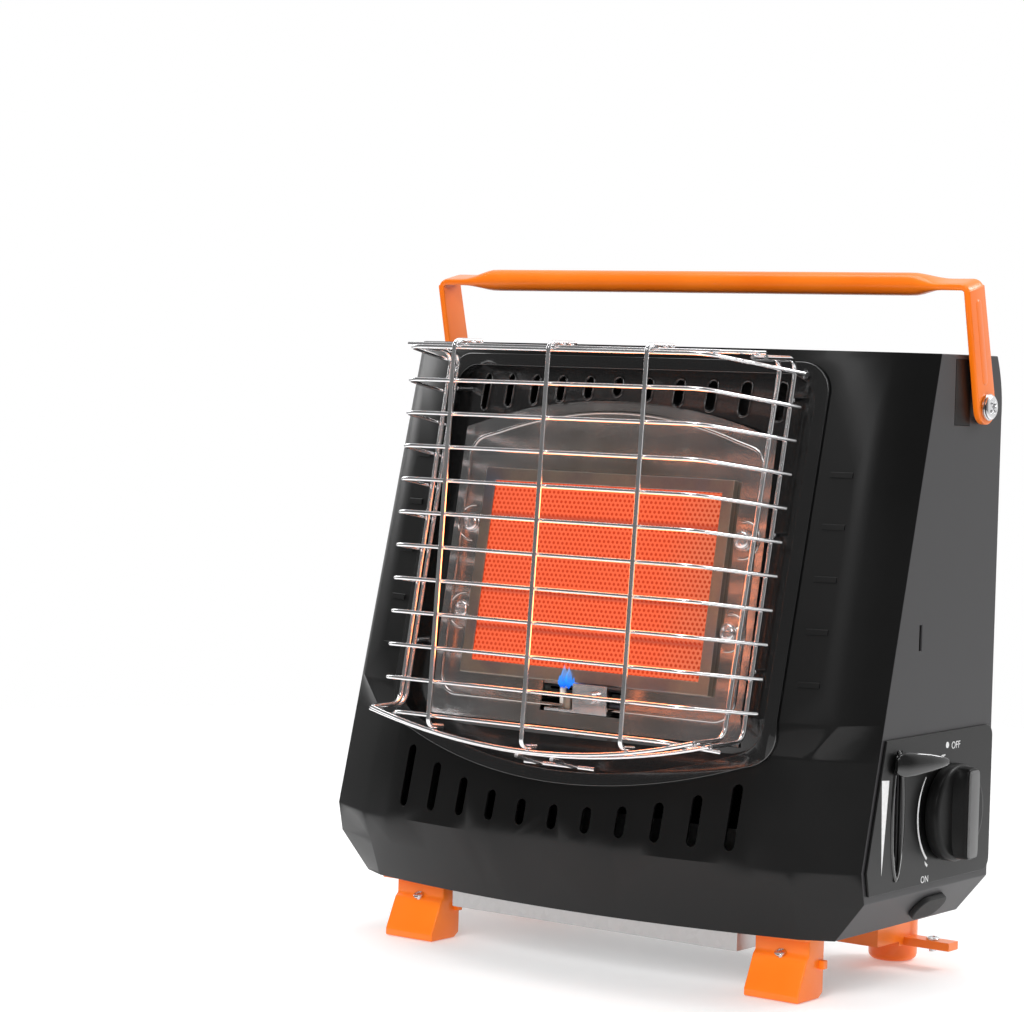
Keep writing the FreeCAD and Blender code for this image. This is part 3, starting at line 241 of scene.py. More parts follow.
# Finishes. The plain ones share a build: noise as (scale, detail, stretch), darkest and lightest tone,
# roughness from and to, relief as (strength, metres). "share" is the grain's part in the roughness, and
# "strong" spreads the cloud over both tones in full.
plainLooks = {
    # powder coat on the side panels
    "satin_grey": {"shader": {"Specular IOR Level": 0.45}, "cloud": (7, 4), "grain": (1400, 2),
                   "strong": True, "tones": ((0.028, 0.027, 0.029, 1), (0.038, 0.037, 0.039, 1)),
                   "rough": (0.40, 0.50), "relief": (0.2, 0.00006)},
    # moulded plastic with a fine spark-eroded grain
    "black_plastic": {"shader": {"Specular IOR Level": 0.16}, "cloud": (60, 4), "grain": (2200, 2),
                      "tones": (grey(0.0035), grey(0.008)), "rough": (0.28, 0.42), "relief": (0.12, 0.00003)},
    "light_grey": {"shader": {"Specular IOR Level": 0.5, "Metallic": 0.35}, "cloud": (500, 3, (1, 9, 0.5)),
                   "tones": (grey(0.11), grey(0.16)), "rough": (0.3, 0.42), "relief": (0.1, 0.00003)},
    "chrome_wire": {"shader": {"Metallic": 1.0}, "cloud": (70, 4), "grain": (1500, 2), "share": 0.3,
                    "tones": (grey(0.84), (0.97, 0.97, 0.9894, 1)), "rough": (0.112, 0.256),
                    "relief": (0.05, 0.00003)},
    "chrome_parts": {"shader": {"Metallic": 1.0}, "cloud": (70, 4), "grain": (1500, 2), "share": 0.3,
                     "tones": (grey(0.62), (0.80, 0.80, 0.816, 1)), "rough": (0.126, 0.288),
                     "relief": (0.05, 0.00003)},
    # glazed porcelain
    "ceramic": {"shader": {"Specular IOR Level": 0.5}, "cloud": (90, 4),
                "tones": ((0.74, 0.70, 0.62, 1), (0.86, 0.83, 0.76, 1)), "rough": (0.25, 0.45),
                "relief": (0.05, 0.0001)},
    # turned and cast metal: fine lathe lines and a dull cloud
    "brass": {"shader": {"Metallic": 1.0}, "cloud": (60, 4), "grain": (700, 2, (1, 0.1, 0.1)), "share": 0.5,
              "tones": ((0.52, 0.36, 0.12, 1), (0.70, 0.52, 0.22, 1)), "rough": (0.24, 0.39),
              "relief": (0.1, 0.00004)},
    "cast_metal": {"shader": {"Metallic": 1.0}, "cloud": (60, 4), "grain": (700, 2, (1, 0.1, 0.1)),
                   "share": 0.5, "tones": (grey(0.38), grey(0.56)), "rough": (0.336, 0.546),
                   "relief": (0.1, 0.00004)},
    # thick enamel with a little orange peel
    "orange": {"shader": {"Specular IOR Level": 0.5, "Coat Roughness": 0.12, "Coat Weight": 0.25},
               "cloud": (22, 4), "grain": (420, 2), "strong": True,
               "tones": ((0.93, 0.175, 0.004, 1), (1.0, 0.215, 0.008, 1)), "rough": (0.28, 0.42),
               "relief": (0.12, 0.00005)},
    "black_rubber": {"shader": {"Specular IOR Level": 0.35}, "cloud": (900, 3),
                     "tones": (grey(0.012), grey(0.024)), "rough": (0.55, 0.75), "relief": (0.25, 0.00005)},
}
# thicker, shinier enamel than the sheet's, on the lip, the vent rims, the lever and the rim of its slot
glossyLook = {"shader": {"Specular IOR Level": 0.6, "Coat Roughness": 0.04, "Coat Weight": 0.9},
              "cloud": (30, 4), "tones": (grey(0.003), grey(0.006)), "rough": (0.08, 0.16),
              "relief": (0.08, 0.0003)}


def plainFinish(name, look):
    # a cloud of tones over a finer grain; in a look with no grain the cloud does both, and more evenly
    finish = Finish(name, look["shader"])
    cloud = finish.noise(*look["cloud"])
    if "grain" in look:
        grain = finish.noise(*look["grain"])
        share = look.get("share", 0)
        rough = finish.spread(cloud * (1 - share) + grain * share if share else cloud, *look["rough"])
    else:
        grain = cloud
        rough = finish.span(cloud, *look["rough"])
    tone = finish.spread(cloud, 0, 1) if "strong" in look else cloud
    finish.set({"Base Color": finish.blend(tone, *look["tones"]), "Roughness": rough,
                "Normal": finish.bump(grain, *look["relief"])})
    return finish.material


def paintedBlack(name, shade, rough, peel, coat):
    finish = Finish(name, {"Specular IOR Level": 0.3, "Coat Roughness": 0.09, "Coat Weight": coat})
    haze = finish.noise(14, 4)
    tone = finish.spread(haze, shade * 0.8, shade * 1.35) / (shade * 1.35)
    smear = finish.noise(5, 5, (1, 1, 3))
    finish.set({"Base Color": finish.blend(tone, grey(shade * 0.7), grey(shade * 1.3)),
                "Roughness": finish.span(smear * 0.6 + haze * 0.4, rough * 0.85, rough * 1.25, 0.35, 0.65),
                "Normal": finish.bump(finish.noise(peel, 2), 0.12, 0.00004)})
    return finish.material


def galvanised():
    # zinc crystals on plain sheet
    finish = Finish("galvanised", {"Metallic": 1.0})
    crystal = finish.node("ShaderNodeTexVoronoi", {"feature": "F1"}, {"Vector": finish.place(), "Scale": 420},
                          output="Color")
    flake = finish.node("ShaderNodeSeparateColor", {}, [crystal])
    mottle = flake * 0.3 + finish.noise(18, 5) * 0.7
    finish.set({"Base Color": finish.blend(mottle, grey(0.46), grey(0.62)),
                "Roughness": finish.span(mottle, 0.30, 0.44, 0.2, 0.8),
                "Normal": finish.bump(flake, 0.05, 0.00004)})
    return finish.material


def polished(middle):
    # the reflector: polished plate, warmed to straw near the tile
    finish = Finish("polished", {"Metallic": 1.0})
    far = finish.vectorMaths("LENGTH", finish.place(moved=-middle))
    ripple = finish.noise(34, 3, (1, 1, 1.6))
    lines = finish.noise(900, 2, (0.05, 0.05, 1))
    heat = finish.span(far + (ripple - 0.5) * 0.03, 1, 0, 0.045, 0.085)
    cool = finish.blend(ripple, (0.42, 0.42, 0.425, 1), (0.60, 0.595, 0.59, 1))
    finish.set({"Base Color": finish.blend(heat * 0.5, cool, (0.52, 0.36, 0.24, 1)),
                "Roughness": finish.spread(lines * 0.5 + ripple * 0.5, 0.10, 0.26),
                "Normal": finish.bump(ripple + lines * 0.08, 0.35, 0.0005)})
    return finish.material


def burnerSteel():
    # plain steel that has been through heat: straw, brown and blue
    finish = Finish("burner_steel", {"Metallic": 1.0})
    color = finish.ramp(finish.noise(28, 4), [(0.3, (0.36, 0.35, 0.35, 1)), (0.5, (0.44, 0.38, 0.31, 1)),
                                              (0.62, (0.34, 0.29, 0.28, 1)), (0.75, (0.27, 0.29, 0.34, 1))])
    grain = finish.noise(800, 3)
    finish.set({"Base Color": color, "Roughness": finish.spread(grain, 0.3, 0.5),
                "Normal": finish.bump(grain, 0.1, 0.00004)})
    return finish.material


tileLow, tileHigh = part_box("ceramic_plaque")
tileMiddle = (tileLow + tileHigh) / 2
finishes = {name: plainFinish(name, look) for name, look in plainLooks.items()}
finishes["gloss_black"] = paintedBlack("gloss_black", 0.003, 0.33, 700, 0.04)
finishes["black_enamel"] = paintedBlack("black_enamel", 0.005, 0.2, 500, 0.6)
finishes["galvanised"] = galvanised()
finishes["polished"] = polished(tileMiddle)
finishes["burner_steel"] = burnerSteel()
for part in frame["record"]["subparts"]:
    for holder in nodes[part["node"]].material_slots:
        holder.material = finishes[part["material_slot"]]
print("finishes on", len(nodes), "nodes")


# Making pieces
def finishPiece(name, mesh, slot, body="cabinet", replaced=(), material=None, smooth=35):
    # a bmesh becomes an object at the origin, with its place in its mesh
    bmesh.ops.remove_doubles(mesh, verts=mesh.verts, dist=1e-7)
    bmesh.ops.recalc_face_normals(mesh, faces=mesh.faces)
    data = bpy.data.meshes.new(name)
    mesh.to_mesh(data)
    mesh.free()
    data.materials.append(material or finishes[slot])
    piece = bpy.data.objects.new(name, data)
    bpy.context.scene.collection.objects.link(piece)
    if smooth:
        data.polygons.foreach_set("use_smooth", [True] * len(data.polygons))
        data.set_sharp_from_angle(angle=math.radians(smooth))
    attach(piece, body)
    if replaced:
        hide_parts(*replaced)
    return piece


def moved(mesh, matrix):
    bmesh.ops.transform(mesh, matrix=matrix, verts=mesh.verts)


def joinMesh(mesh, part):
    data = bpy.data.meshes.new("part")
    part.to_mesh(data)
    part.free()
    mesh.from_mesh(data)
    bpy.data.meshes.remove(data)


def boxMesh(low, high):
    # a block between two corners, in metres
    mesh = bmesh.new()
    made = bmesh.ops.create_cube(mesh, size=1.0)["verts"]
    bmesh.ops.scale(mesh, vec=high - low, verts=made)
    bmesh.ops.translate(mesh, vec=(low + high) / 2, verts=made)
    return mesh


def drawOut(mesh, faces, offset):
    # flat faces become a solid as deep as the offset
    made = bmesh.ops.extrude_face_region(mesh, geom=faces)["geom"]
    verts = [item for item in made if isinstance(item, bmesh.types.BMVert)]
    bmesh.ops.translate(mesh, vec=offset, verts=verts)


def bevelEdges(mesh, edges, width, segments):
    bmesh.ops.bevel(mesh, geom=edges, offset=width, offset_type="OFFSET", affect="EDGES", segments=segments,
                    profile=0.5, clamp_overlap=True, material=-1)


def bevelAll(mesh, width, segments, sharper=20):
    edges = [edge for edge in mesh.edges if edge.is_manifold
             and edge.calc_face_angle() > math.radians(sharper)]
    bevelEdges(mesh, edges, width, segments)


def softened(name, node, slot, body, width, segments, sharper, smooth):
    # a copy of the node's own mesh, merged, with its hard edges rounded
    mesh = bmesh.new()
    mesh.from_mesh(nodes[node].data)
    bmesh.ops.remove_doubles(mesh, verts=mesh.verts, dist=2e-6)
    bmesh.ops.dissolve_limit(mesh, angle_limit=math.radians(0.6), verts=mesh.verts, edges=mesh.edges,
                             use_dissolve_boundaries=False)
    bevelAll(mesh, width, segments, sharper)
    piece = finishPiece(name, mesh, slot, body, (node,), smooth=smooth)
    # flat faces stay flat in the shading and their rounded edges carry the turn
    piece.modifiers.new("even", "WEIGHTED_NORMAL").keep_sharp = True
    return piece


# Shaping helpers
def arcAt(middle, radius, angles):
    # points round a middle, at angles in degrees
    across, up = middle
    return [(across + radius * math.cos(angle), up + radius * math.sin(angle))
            for angle in map(math.radians, angles)]


def roundedOutline(halfWide, halfTall, power, count):
    # an oval for power 2, squarer as it grows
    points = []
    for index in range(count):
        angle = 2 * math.pi * (index + 0.5) / count
        across, up = math.cos(angle), math.sin(angle)
        points.append((halfWide * math.copysign(abs(across) ** (2 / power), across),
                       halfTall * math.copysign(abs(up) ** (2 / power), up)))
    return points


def ringAt(mesh, points):
    verts = [mesh.verts.new(point) for point in points]
    return [mesh.edges.new((verts[index], verts[(index + 1) % len(verts)])) for index in range(len(verts))]


def lofted(mesh, rings, capped=True):
    # closed rings of equally many points, joined one to the next
    loops = [ringAt(mesh, points) for points in rings]
    for first, second in zip(loops, loops[1:]):
        bmesh.ops.bridge_loops(mesh, edges=first + second)
    if capped:
        bmesh.ops.contextual_create(mesh, geom=loops[0])
        bmesh.ops.contextual_create(mesh, geom=loops[-1])


def spunProfile(mesh, profile, place, axis, steps):
    # profile of (along the axis, radius), in millimetres, spun about the axis through place
    axis = Vector(axis).normalized()
    side = axis.orthogonal().normalized()
    start = [mesh.verts.new(place + axis * (along / 1000) + side * (radius / 1000))
             for along, radius in profile]
    edges = [mesh.edges.new(pair) for pair in zip(start, start[1:])]
    bmesh.ops.spin(mesh, geom=start + edges, cent=place, axis=axis, angle=2 * math.pi, steps=steps,
                   use_merge=True, use_duplicate=False)


def frontOf(node):
    # a way to find a node's surface in front of a place, looking back along Y
    mesh = bmesh.new()
    mesh.from_mesh(nodes[node].data)
    tree = BVHTree.FromBMesh(mesh)
    mesh.free()
    return lambda x, z: tree.ray_cast(at(x, -300, z), Vector((0, 1, 0)))[0]


print("helpers ready")


# Burner tile: five raised bands of fine holes, glowing
tile = {"tilt": 9.95, "wide": 120.0, "tall": 80.5, "thick": 12.0, "groove": 0.8, "bands": 5, "gap": 1.3,
        "edge": ((0.0003, 0.0005), (0.0005, 0.0003)), "pitch": 2.25, "rowStep": 1.732, "hole": (0.22, 0.34)}
tileTones = {"hot": (0.88, 0.085, 0.010, 1), "hotHole": (0.60, 0.035, 0.006, 1), "rim": (0.62, 0.15, 0.06, 1),
             "rimHole": (0.30, 0.030, 0.008, 1), "groove": (0.42, 0.035, 0.012, 1),
             "cooler": (0.55, 0.05, 0.012, 1), "ash": (0.62, 0.52, 0.42, 1),
             "ashHole": (0.10, 0.05, 0.035, 1), "soot": (0.06, 0.008, 0.003, 1), "glow": (1.0, 0.28, 0.1)}
tilt = math.radians(tile["tilt"])
tileUp = Vector((0, math.sin(tilt), math.cos(tilt)))
tileOut = Vector((0, -math.cos(tilt), math.sin(tilt)))
tileFace = tileMiddle + tileOut * (tile["thick"] / 2000)


def tilePlace(across, up, out):
    # millimetres on the tile's own face
    return tileFace + Vector((across / 1000, 0, 0)) + tileUp * (up / 1000) + tileOut * (out / 1000)


def glowingTile():
    finish = Finish("glowing_tile", {"Specular IOR Level": 0.2, "Emission Strength": 1.0})
    centred = finish.vectorMaths("SUBTRACT", finish.spot(), tileFace, output="Vector")
    flat = finish.node("ShaderNodeMapping", {}, {"Vector": centred, "Rotation": (tilt, 0, 0)})
    side, rise = [finish.node("ShaderNodeSeparateXYZ", {}, [flat], output=axis) for axis in ("X", "Z")]
    across, up = side * (1000 / tile["pitch"]), rise * (1000 / (tile["pitch"] * tile["rowStep"]))

    def lattice(shift):
        # distance to the nearest hole of one of the two rectangular lattices, in pitches
        aside = (across + shift).math("FRACT") - 0.5
        above = ((up + shift).math("FRACT") - 0.5) * tile["rowStep"]
        return (aside * aside + above * above).math("SQRT")
    hole = finish.span(lattice(0.0).math("MINIMUM", lattice(0.5)), 1, 0, *tile["hole"])
    cloud = finish.noise(45, 4, spot=flat)
    fromMiddle = finish.span(side.math("ABSOLUTE"), 0, 1, 0.02, 0.06)
    rightEnd = finish.span(side + (cloud - 0.5) * 0.02, 0, 1, 0.034, 0.060)
    heat = finish.span(cloud * 0.5 + (1 - fromMiddle) * 0.5, 0.78, 1.0, 0.2, 0.8)
    hot = finish.blend(hole, tileTones["hot"], tileTones["hotHole"])
    rim = finish.blend(hole, tileTones["rim"], tileTones["rimHole"])
    warm = finish.blend(rightEnd * 0.8, hot, rim)
    bands = (rise * (1000 * tile["bands"] / tile["tall"]) + tile["bands"] / 2).math("FRACT")
    fromGroove = finish.span(bands.math("MINIMUM", 1 - bands), 0.15, 1.0, 0.02, 0.11)
    shaded = finish.blend(fromGroove, tileTones["groove"], warm)
    ash = finish.blend(hole, tileTones["ash"], tileTones["ashHole"])
    finish.set({"Base Color": finish.blend(0.9, ash, tileTones["soot"]),
                "Emission Color": finish.blend(heat, tileTones["cooler"], shaded),
                "Roughness": finish.span(cloud, 0.75, 0.95), "Normal": finish.bump(1 - hole, 0.8, 0.0006)})
    return finish.material


def burnerTile():
    mesh = bmesh.new()
    bmesh.ops.create_cube(mesh, size=1.0)
    size = (tile["wide"] / 1000, (tile["thick"] - tile["groove"]) / 1000, tile["tall"] / 1000)
    bmesh.ops.scale(mesh, vec=size, verts=mesh.verts)
    for band in range(1, tile["bands"]):
        height = tile["tall"] * (band / tile["bands"] - 0.5) / 1000
        bmesh.ops.bisect_plane(mesh, geom=mesh.verts[:] + mesh.edges[:] + mesh.faces[:],
                               plane_co=(0, 0, height), plane_no=(0, 0, 1))
    mesh.normal_update()
    front = [face for face in mesh.faces if face.normal.y < -0.9]
    for thickness, depth in ((tile["gap"] / 2000, 0),) + tile["edge"]:
        bmesh.ops.inset_individual(mesh, faces=front, thickness=thickness, depth=depth)
    bmesh.ops.translate(mesh, vec=(0, (tile["thick"] + tile["groove"]) / 2000, 0), verts=mesh.verts)
    moved(mesh, Matrix.Translation(tileFace) @ Matrix.Rotation(-tilt, 4, "X"))
    return finishPiece("burner_tile", mesh, "ceramic", "cabinet", ("ceramic_plaque",), glowingTile(), 25)


burnerTile()
glow = softLight("light_glow", tileFace + tileOut * 0.004, tileFace + tileOut * 0.1, 0.118, 0.078, 0.2)
glow.data.color = tileTones["glow"]
glow.visible_camera = False
print("burner tile made")


# Control knob: flanged disc with a flared grip, a grey cap and its dot. The flange is (along the axis,
# in from the radius), a ring is (along the axis, in from the sides, in from the ends, squareness).
knob = {"start": 136.8, "y": 50.0, "z": 74.0, "radius": 20.0, "grip": (8.6, 18.9), "cap": (3.7, 17.9),
        "dot": 1.7, "dotPlace": (12.36, -1),
        "flange": ((0, 0.9), (0.3, 0.3), (0.9, 0), (4.6, 0), (5.4, 0.35), (5.9, 1.1), (6.1, 2.4)),
        "gripRings": ((5.6, 0.0, 0.0, 3.0), (6.6, 2.0, 0.0, 3.4), (8.0, 3.2, 0.05, 4), (10.0, 3.9, 0.15, 5),
                      (10.9, 4.05, 0.3, 6), (11.3, 4.3, 0.6, 6), (11.4, 4.8, 1.0, 6)),
        "capRings": ((11.2, 0, 0, 9), (12.0, 0, 0, 9), (12.3, 0.15, 0.15, 9), (12.4, 0.45, 0.45, 9))}


def sidePlace(along, across, up):
    # along the knob's axis, and across and up from it
    return at(knob["start"] + along, knob["y"] + across, knob["z"] + up)


def knobRings(size, rings):
    wide, tall = size
    return [[sidePlace(along, across, up)
             for across, up in roundedOutline(wide - thin, tall - short, power, 56)]
            for along, thin, short, power in rings]


def controlKnob():
    mesh = bmesh.new()
    flange = [(along, knob["radius"] - inward) for along, inward in knob["flange"]]
    spunProfile(mesh, [(0, 0)] + flange + [(flange[-1][0], 0)], sidePlace(0, 0, 0), (1, 0, 0), 72)
    lofted(mesh, knobRings(knob["grip"], knob["gripRings"]))
    finishPiece("control_knob_shape", mesh, "black_plastic", "knob", ("control_knob",), smooth=40)
    cap = bmesh.new()
    lofted(cap, knobRings(knob["cap"], knob["capRings"]))
    finishPiece("knob_cap", cap, "light_grey", "knob", ("knob_insert",), smooth=40)
    dot = bmesh.new()
    face, up = knob["dotPlace"]
    spunProfile(dot, [(0, 0), (0, knob["dot"]), (0.04, knob["dot"] - 0.2), (0.02, 0)],
                sidePlace(face, 0, up), (1, 0, 0), 28)
    finishPiece("knob_dot", dot, "black_plastic", "knob", smooth=40)


controlKnob()


# Lock lever: a swept blade on a flat stem, and the rim of its slot. A blade station is (x, y, half as
# thick, half as tall, rise), a rim ring is (half as wide, half as tall, out from the face).
lever = {"y": 10.0, "z": 97.0, "face": 136.2, "inner": 128.0, "travel": 42.0,
         "stem": (1.7, 4.0, 3.4), "keeper": (5.0, 6.0, 2.5),
         "blade": ((137.9, 4.9, 0.9, 2.6, -0.2), (138.4, 6.4, 1.3, 4.2, 0.0), (139.4, 9.4, 2.3, 5.0, 0.0),
                   (141.6, 14.2, 2.4, 4.7, 0.2), (144.6, 19.6, 1.9, 3.7, 0.5), (147.0, 24.4, 1.3, 2.5, 0.6),
                   (148.2, 27.2, 0.8, 1.5, 0.5), (148.6, 28.0, 0.4, 0.8, 0.5)),
         "rim": ((5.2, 26.5, -0.1), (5.2, 26.5, 0.15), (4.7, 25.8, 0.55), (3.6, 24.8, 0.55), (2.9, 24.0, 0.1),
                 (2.9, 24.0, -0.1)), "rimSteps": 40, "rimTaper": 1.15}


def leverBlock(wide, tall, end):
    block = boxMesh(at(lever["inner"], lever["y"] - wide, lever["z"] - tall),
                    at(end, lever["y"] + wide, lever["z"] + tall))
    bevelAll(block, 0.0003, 2)
    return block


def lockLever():
    mesh = bmesh.new()
    rings = []
    stations = lever["blade"]
    for index, (x, y, thick, tall, rise) in enumerate(stations):
        ahead, behind = stations[min(index + 1, len(stations) - 1)], stations[max(index - 1, 0)]
        along = Vector((ahead[0] - behind[0], ahead[1] - behind[1])).normalized()
        rings.append([at(x - along.y * across, y + along.x * across, lever["z"] + rise + up)
                      for across, up in roundedOutline(thick, tall, 3.0, 32)])
    lofted(mesh, rings)
    wide, tall, out = lever["stem"]
    joinMesh(mesh, leverBlock(wide, tall, lever["face"] + out))
    wide, tall, thick = lever["keeper"]
    joinMesh(mesh, leverBlock(wide, tall, lever["inner"] + thick))
    glossy = plainFinish("glossy_lever", glossyLook)
    finishPiece("lever_blade", mesh, "black_plastic", "lever", ("lock_lever",), glossy, 50)


def slotRim():
    # a lens-shaped rim around the lever's slot
    middle = lever["z"] - lever["travel"] / 2

    def lens(halfWide, halfTall, out):
        points = []
        for index in range(lever["rimSteps"]):
            angle = 2 * math.pi * index / lever["rimSteps"]
            width = math.copysign(abs(math.cos(angle)) ** lever["rimTaper"], math.cos(angle))
            points.append(at(lever["face"] + out, lever["y"] + halfWide * width,
                             middle + halfTall * math.sin(angle)))
        return points
    mesh = bmesh.new()
    rings = [lens(*ring) for ring in lever["rim"]]
    lofted(mesh, rings + [rings[0]], capped=False)
    glossy = plainFinish("glossy_rim", glossyLook)
    finishPiece("lever_slot_rim", mesh, "gloss_black", material=glossy, smooth=50)


lockLever()
slotRim()
print("knob and lever made")


# White marks printed on the control panel. An arc is (radius, start, end, width), a word is (y, z, size).
marks = {"face": 136.2, "proud": 0.04, "arc": (23.8, 139, 229, 1.1), "sweep": (23.6, 97, 114, 1.2),
         "wedge": ((-3.2, 91.5), (2.6, 91.0), (-1.4, 53.5)),
         "tick": ((32.8, 55.4), (35.3, 53.6), (34.7, 52.7), (33.2, 53.9)), "dot": ((48.6, 101.3), 1.3),
         "words": {"off": (52.0, 99.4, 4.2), "on": (30.0, 46.6, 4.0)}}
printLook = {"shader": {"Specular IOR Level": 0.4}, "cloud": (900, 3), "tones": (grey(0.70), grey(0.92)),
             "rough": (0.4, 0.6), "relief": (0.1, 0.00002)}


def printedShape(mesh, outline):
    # a flat outline of (y, z) on the panel, with a little thickness
    verts = [mesh.verts.new(at(marks["face"] + marks["proud"], y, z)) for y, z in outline]
    drawOut(mesh, [mesh.faces.new(verts)], (-2 * marks["proud"] / 1000, 0, 0))


def arcOutline(radius, start, end, width, steps):
    # a stripe round the knob that tapers to its start
    middle = (knob["y"], knob["z"])
    outer, inner = [], []
    for index in range(steps + 1):
        far = index / steps
        angle = start + (end - start) * far
        half = width / 2 * (0.35 + 0.65 * min(1, far * 3))
        outer += arcAt(middle, radius + half, [angle])
        inner += arcAt(middle, radius - half, [angle])
    return outer + inner[::-1]


def printedMarks():
    mesh = bmesh.new()
    dotMiddle, dotRadius = marks["dot"]
    for outline in (arcOutline(*marks["arc"], 24), arcOutline(*marks["sweep"], 8), marks["wedge"],
                    marks["tick"], arcAt(dotMiddle, dotRadius, range(0, 360, 15))):
        printedShape(mesh, outline)
    white = plainFinish("white_print", printLook)
    finishPiece("panel_marks", mesh, "light_grey", material=white, smooth=0)
    upright = Matrix.Rotation(math.radians(90), 4, "Z") @ Matrix.Rotation(math.radians(90), 4, "X")
    for word, (y, z, size) in marks["words"].items():
        curve = bpy.data.curves.new(word, "FONT")
        curve.body = word.upper()
        curve.size = size / 1000
        curve.extrude = marks["proud"] / 1000
        carrier = bpy.data.objects.new(word, curve)
        letters = bmesh.new()
        letters.from_mesh(bpy.data.meshes.new_from_object(carrier))
        bpy.data.objects.remove(carrier)
        moved(letters, Matrix.Translation(at(marks["face"], y, z)) @ upright)
        finishPiece("word_" + word, letters, "light_grey", material=white, smooth=0)


printedMarks()
softened("control_plate", "control_panel", "gloss_black", "cabinet", 0.00045, 3, 40, 35)
print("control panel printed")


# Handle: a round tube pinched flat at its ends, on two strap arms. A tube station is (x, half as wide,
# half as tall, squareness), a rib ring is (out from the strap, half as wide, lowest, highest).
handle = {"reach": 51.5, "lean": 13.8, "end": 136.0, "bend": 3.0, "flat": (6.3, 1.5, 6.0), "sides": 32,
          "tube": ((107.0, 4.8, 4.8, 2.0), (111.0, 4.9, 4.7, 2.0), (114.0, 5.25, 4.15, 2.1),
                   (117.0, 5.7, 3.35, 2.3), (120.0, 6.0, 2.45, 2.8), (122.5, 6.1, 1.85, 3.6),
                   (125.0, 6.1, 1.55, 5.0), (129.0, 6.1, 1.5, 6.0)),
          "thick": 3.0, "top": 50.3, "topHalf": 6.5, "lowHalf": 7.25, "hole": 2.56, "armSides": 48,
          "edge": 0.0006, "holeReach": 0.004,
          "rib": ((-0.3, 2.3, 9.0, 45.5), (0.1, 2.1, 9.3, 45.2), (0.32, 1.4, 10.0, 44.5))}


def fromPivot(x, across, up):
    return at(x, pivot["y"] + across, pivot["z"] + up)


def leaned(mesh):
    middle = fromPivot(0, 0, 0)
    moved(mesh, Matrix.Translation(middle) @ Matrix.Rotation(math.radians(handle["lean"]), 4, "X")
          @ Matrix.Translation(-middle))
    return mesh


def bentEnd(side):
    # the tube's flat end turns down into the arm
    flatHalf, radius = handle["flat"][1], handle["bend"]
    rings = []
    for angle in [math.radians(15 * step) for step in range(7)]:
        x = handle["end"] - flatHalf + radius * math.sin(angle)
        level = handle["reach"] - radius * (1 - math.cos(angle))
        rings.append([fromPivot(side * (x + up * math.sin(angle)), across, level + up * math.cos(angle))
                      for across, up in roundedOutline(*handle["flat"], handle["sides"])])
    return rings


def handleTube():
    mesh = bmesh.new()
    half = list(handle["tube"])
    tube = [[fromPivot(x, across, handle["reach"] + up)
             for across, up in roundedOutline(wide, tall, power, handle["sides"])]
            for x, wide, tall, power in [(-station[0],) + station[1:] for station in reversed(half)] + half]
    lofted(mesh, bentEnd(-1)[::-1] + tube + bentEnd(1))
    finishPiece("handle_tube", leaned(mesh), "orange", "handle", ("handle_grip",), smooth=40)


def strapOutline():
    # the strap as seen from its pivot: rounded below, narrowing to a square top
    count, top = handle["armSides"], handle["top"]
    outline = []
    for index in range(count):
        angle = 2 * math.pi * index / count
        across, up = math.cos(angle), math.sin(angle)
        reach = handle["lowHalf"]
        if up > 0:
            slope = (handle["lowHalf"] - handle["topHalf"]) / top
            reach = min(handle["lowHalf"] / (abs(across) + slope * up), top / up)
        outline.append((reach * across, reach * up))
    for wide in (handle["topHalf"], -handle["topHalf"]):
        nearest = min(range(count), key=lambda index: math.dist(outline[index], (wide, top)))
        outline[nearest] = (wide, top)
    return outline


def handleArm(name, node, side):
    mesh = bmesh.new()
    count = handle["armSides"]
    hole = arcAt((0, 0), handle["hole"], [360 * index / count for index in range(count)])
    loops = [ringAt(mesh, [fromPivot(side * handle["end"], across, up) for across, up in line])
             for line in (strapOutline(), hole)]
    faces = bmesh.ops.bridge_loops(mesh, edges=loops[0] + loops[1])["faces"]
    drawOut(mesh, faces, (side * handle["thick"] / 1000, 0, 0))
    bmesh.ops.recalc_face_normals(mesh, faces=mesh.faces)
    middle = fromPivot(0, 0, 0)
    edges = [edge for edge in mesh.edges if edge.is_manifold and edge.calc_face_angle() > math.radians(60)
             and (edge.verts[0].co - middle).yz.length > handle["holeReach"]]
    bevelEdges(mesh, edges, handle["edge"], 3)
    # a low rib pressed along the strap
    face = handle["end"] + handle["thick"]
    lofted(mesh, [[fromPivot(side * (face + out), across, up) for across, up in roundedRib(half, low, high)]
                  for out, half, low, high in handle["rib"]])
    finishPiece(name, leaned(mesh), "orange", "handle", (node,), smooth=40)


def roundedRib(half, low, high):
    # the rib's outline: a half circle above and one below
    angles = [22.5 * step for step in range(17)]
    return arcAt((0, high - half), half, angles[:9]) + arcAt((0, low + half), half, angles[8:])


handleTube()
handleArm("strap_arm_right", "handle_arm_right", 1)
handleArm("strap_arm_left", "handle_arm_left", -1)
print("handle made")


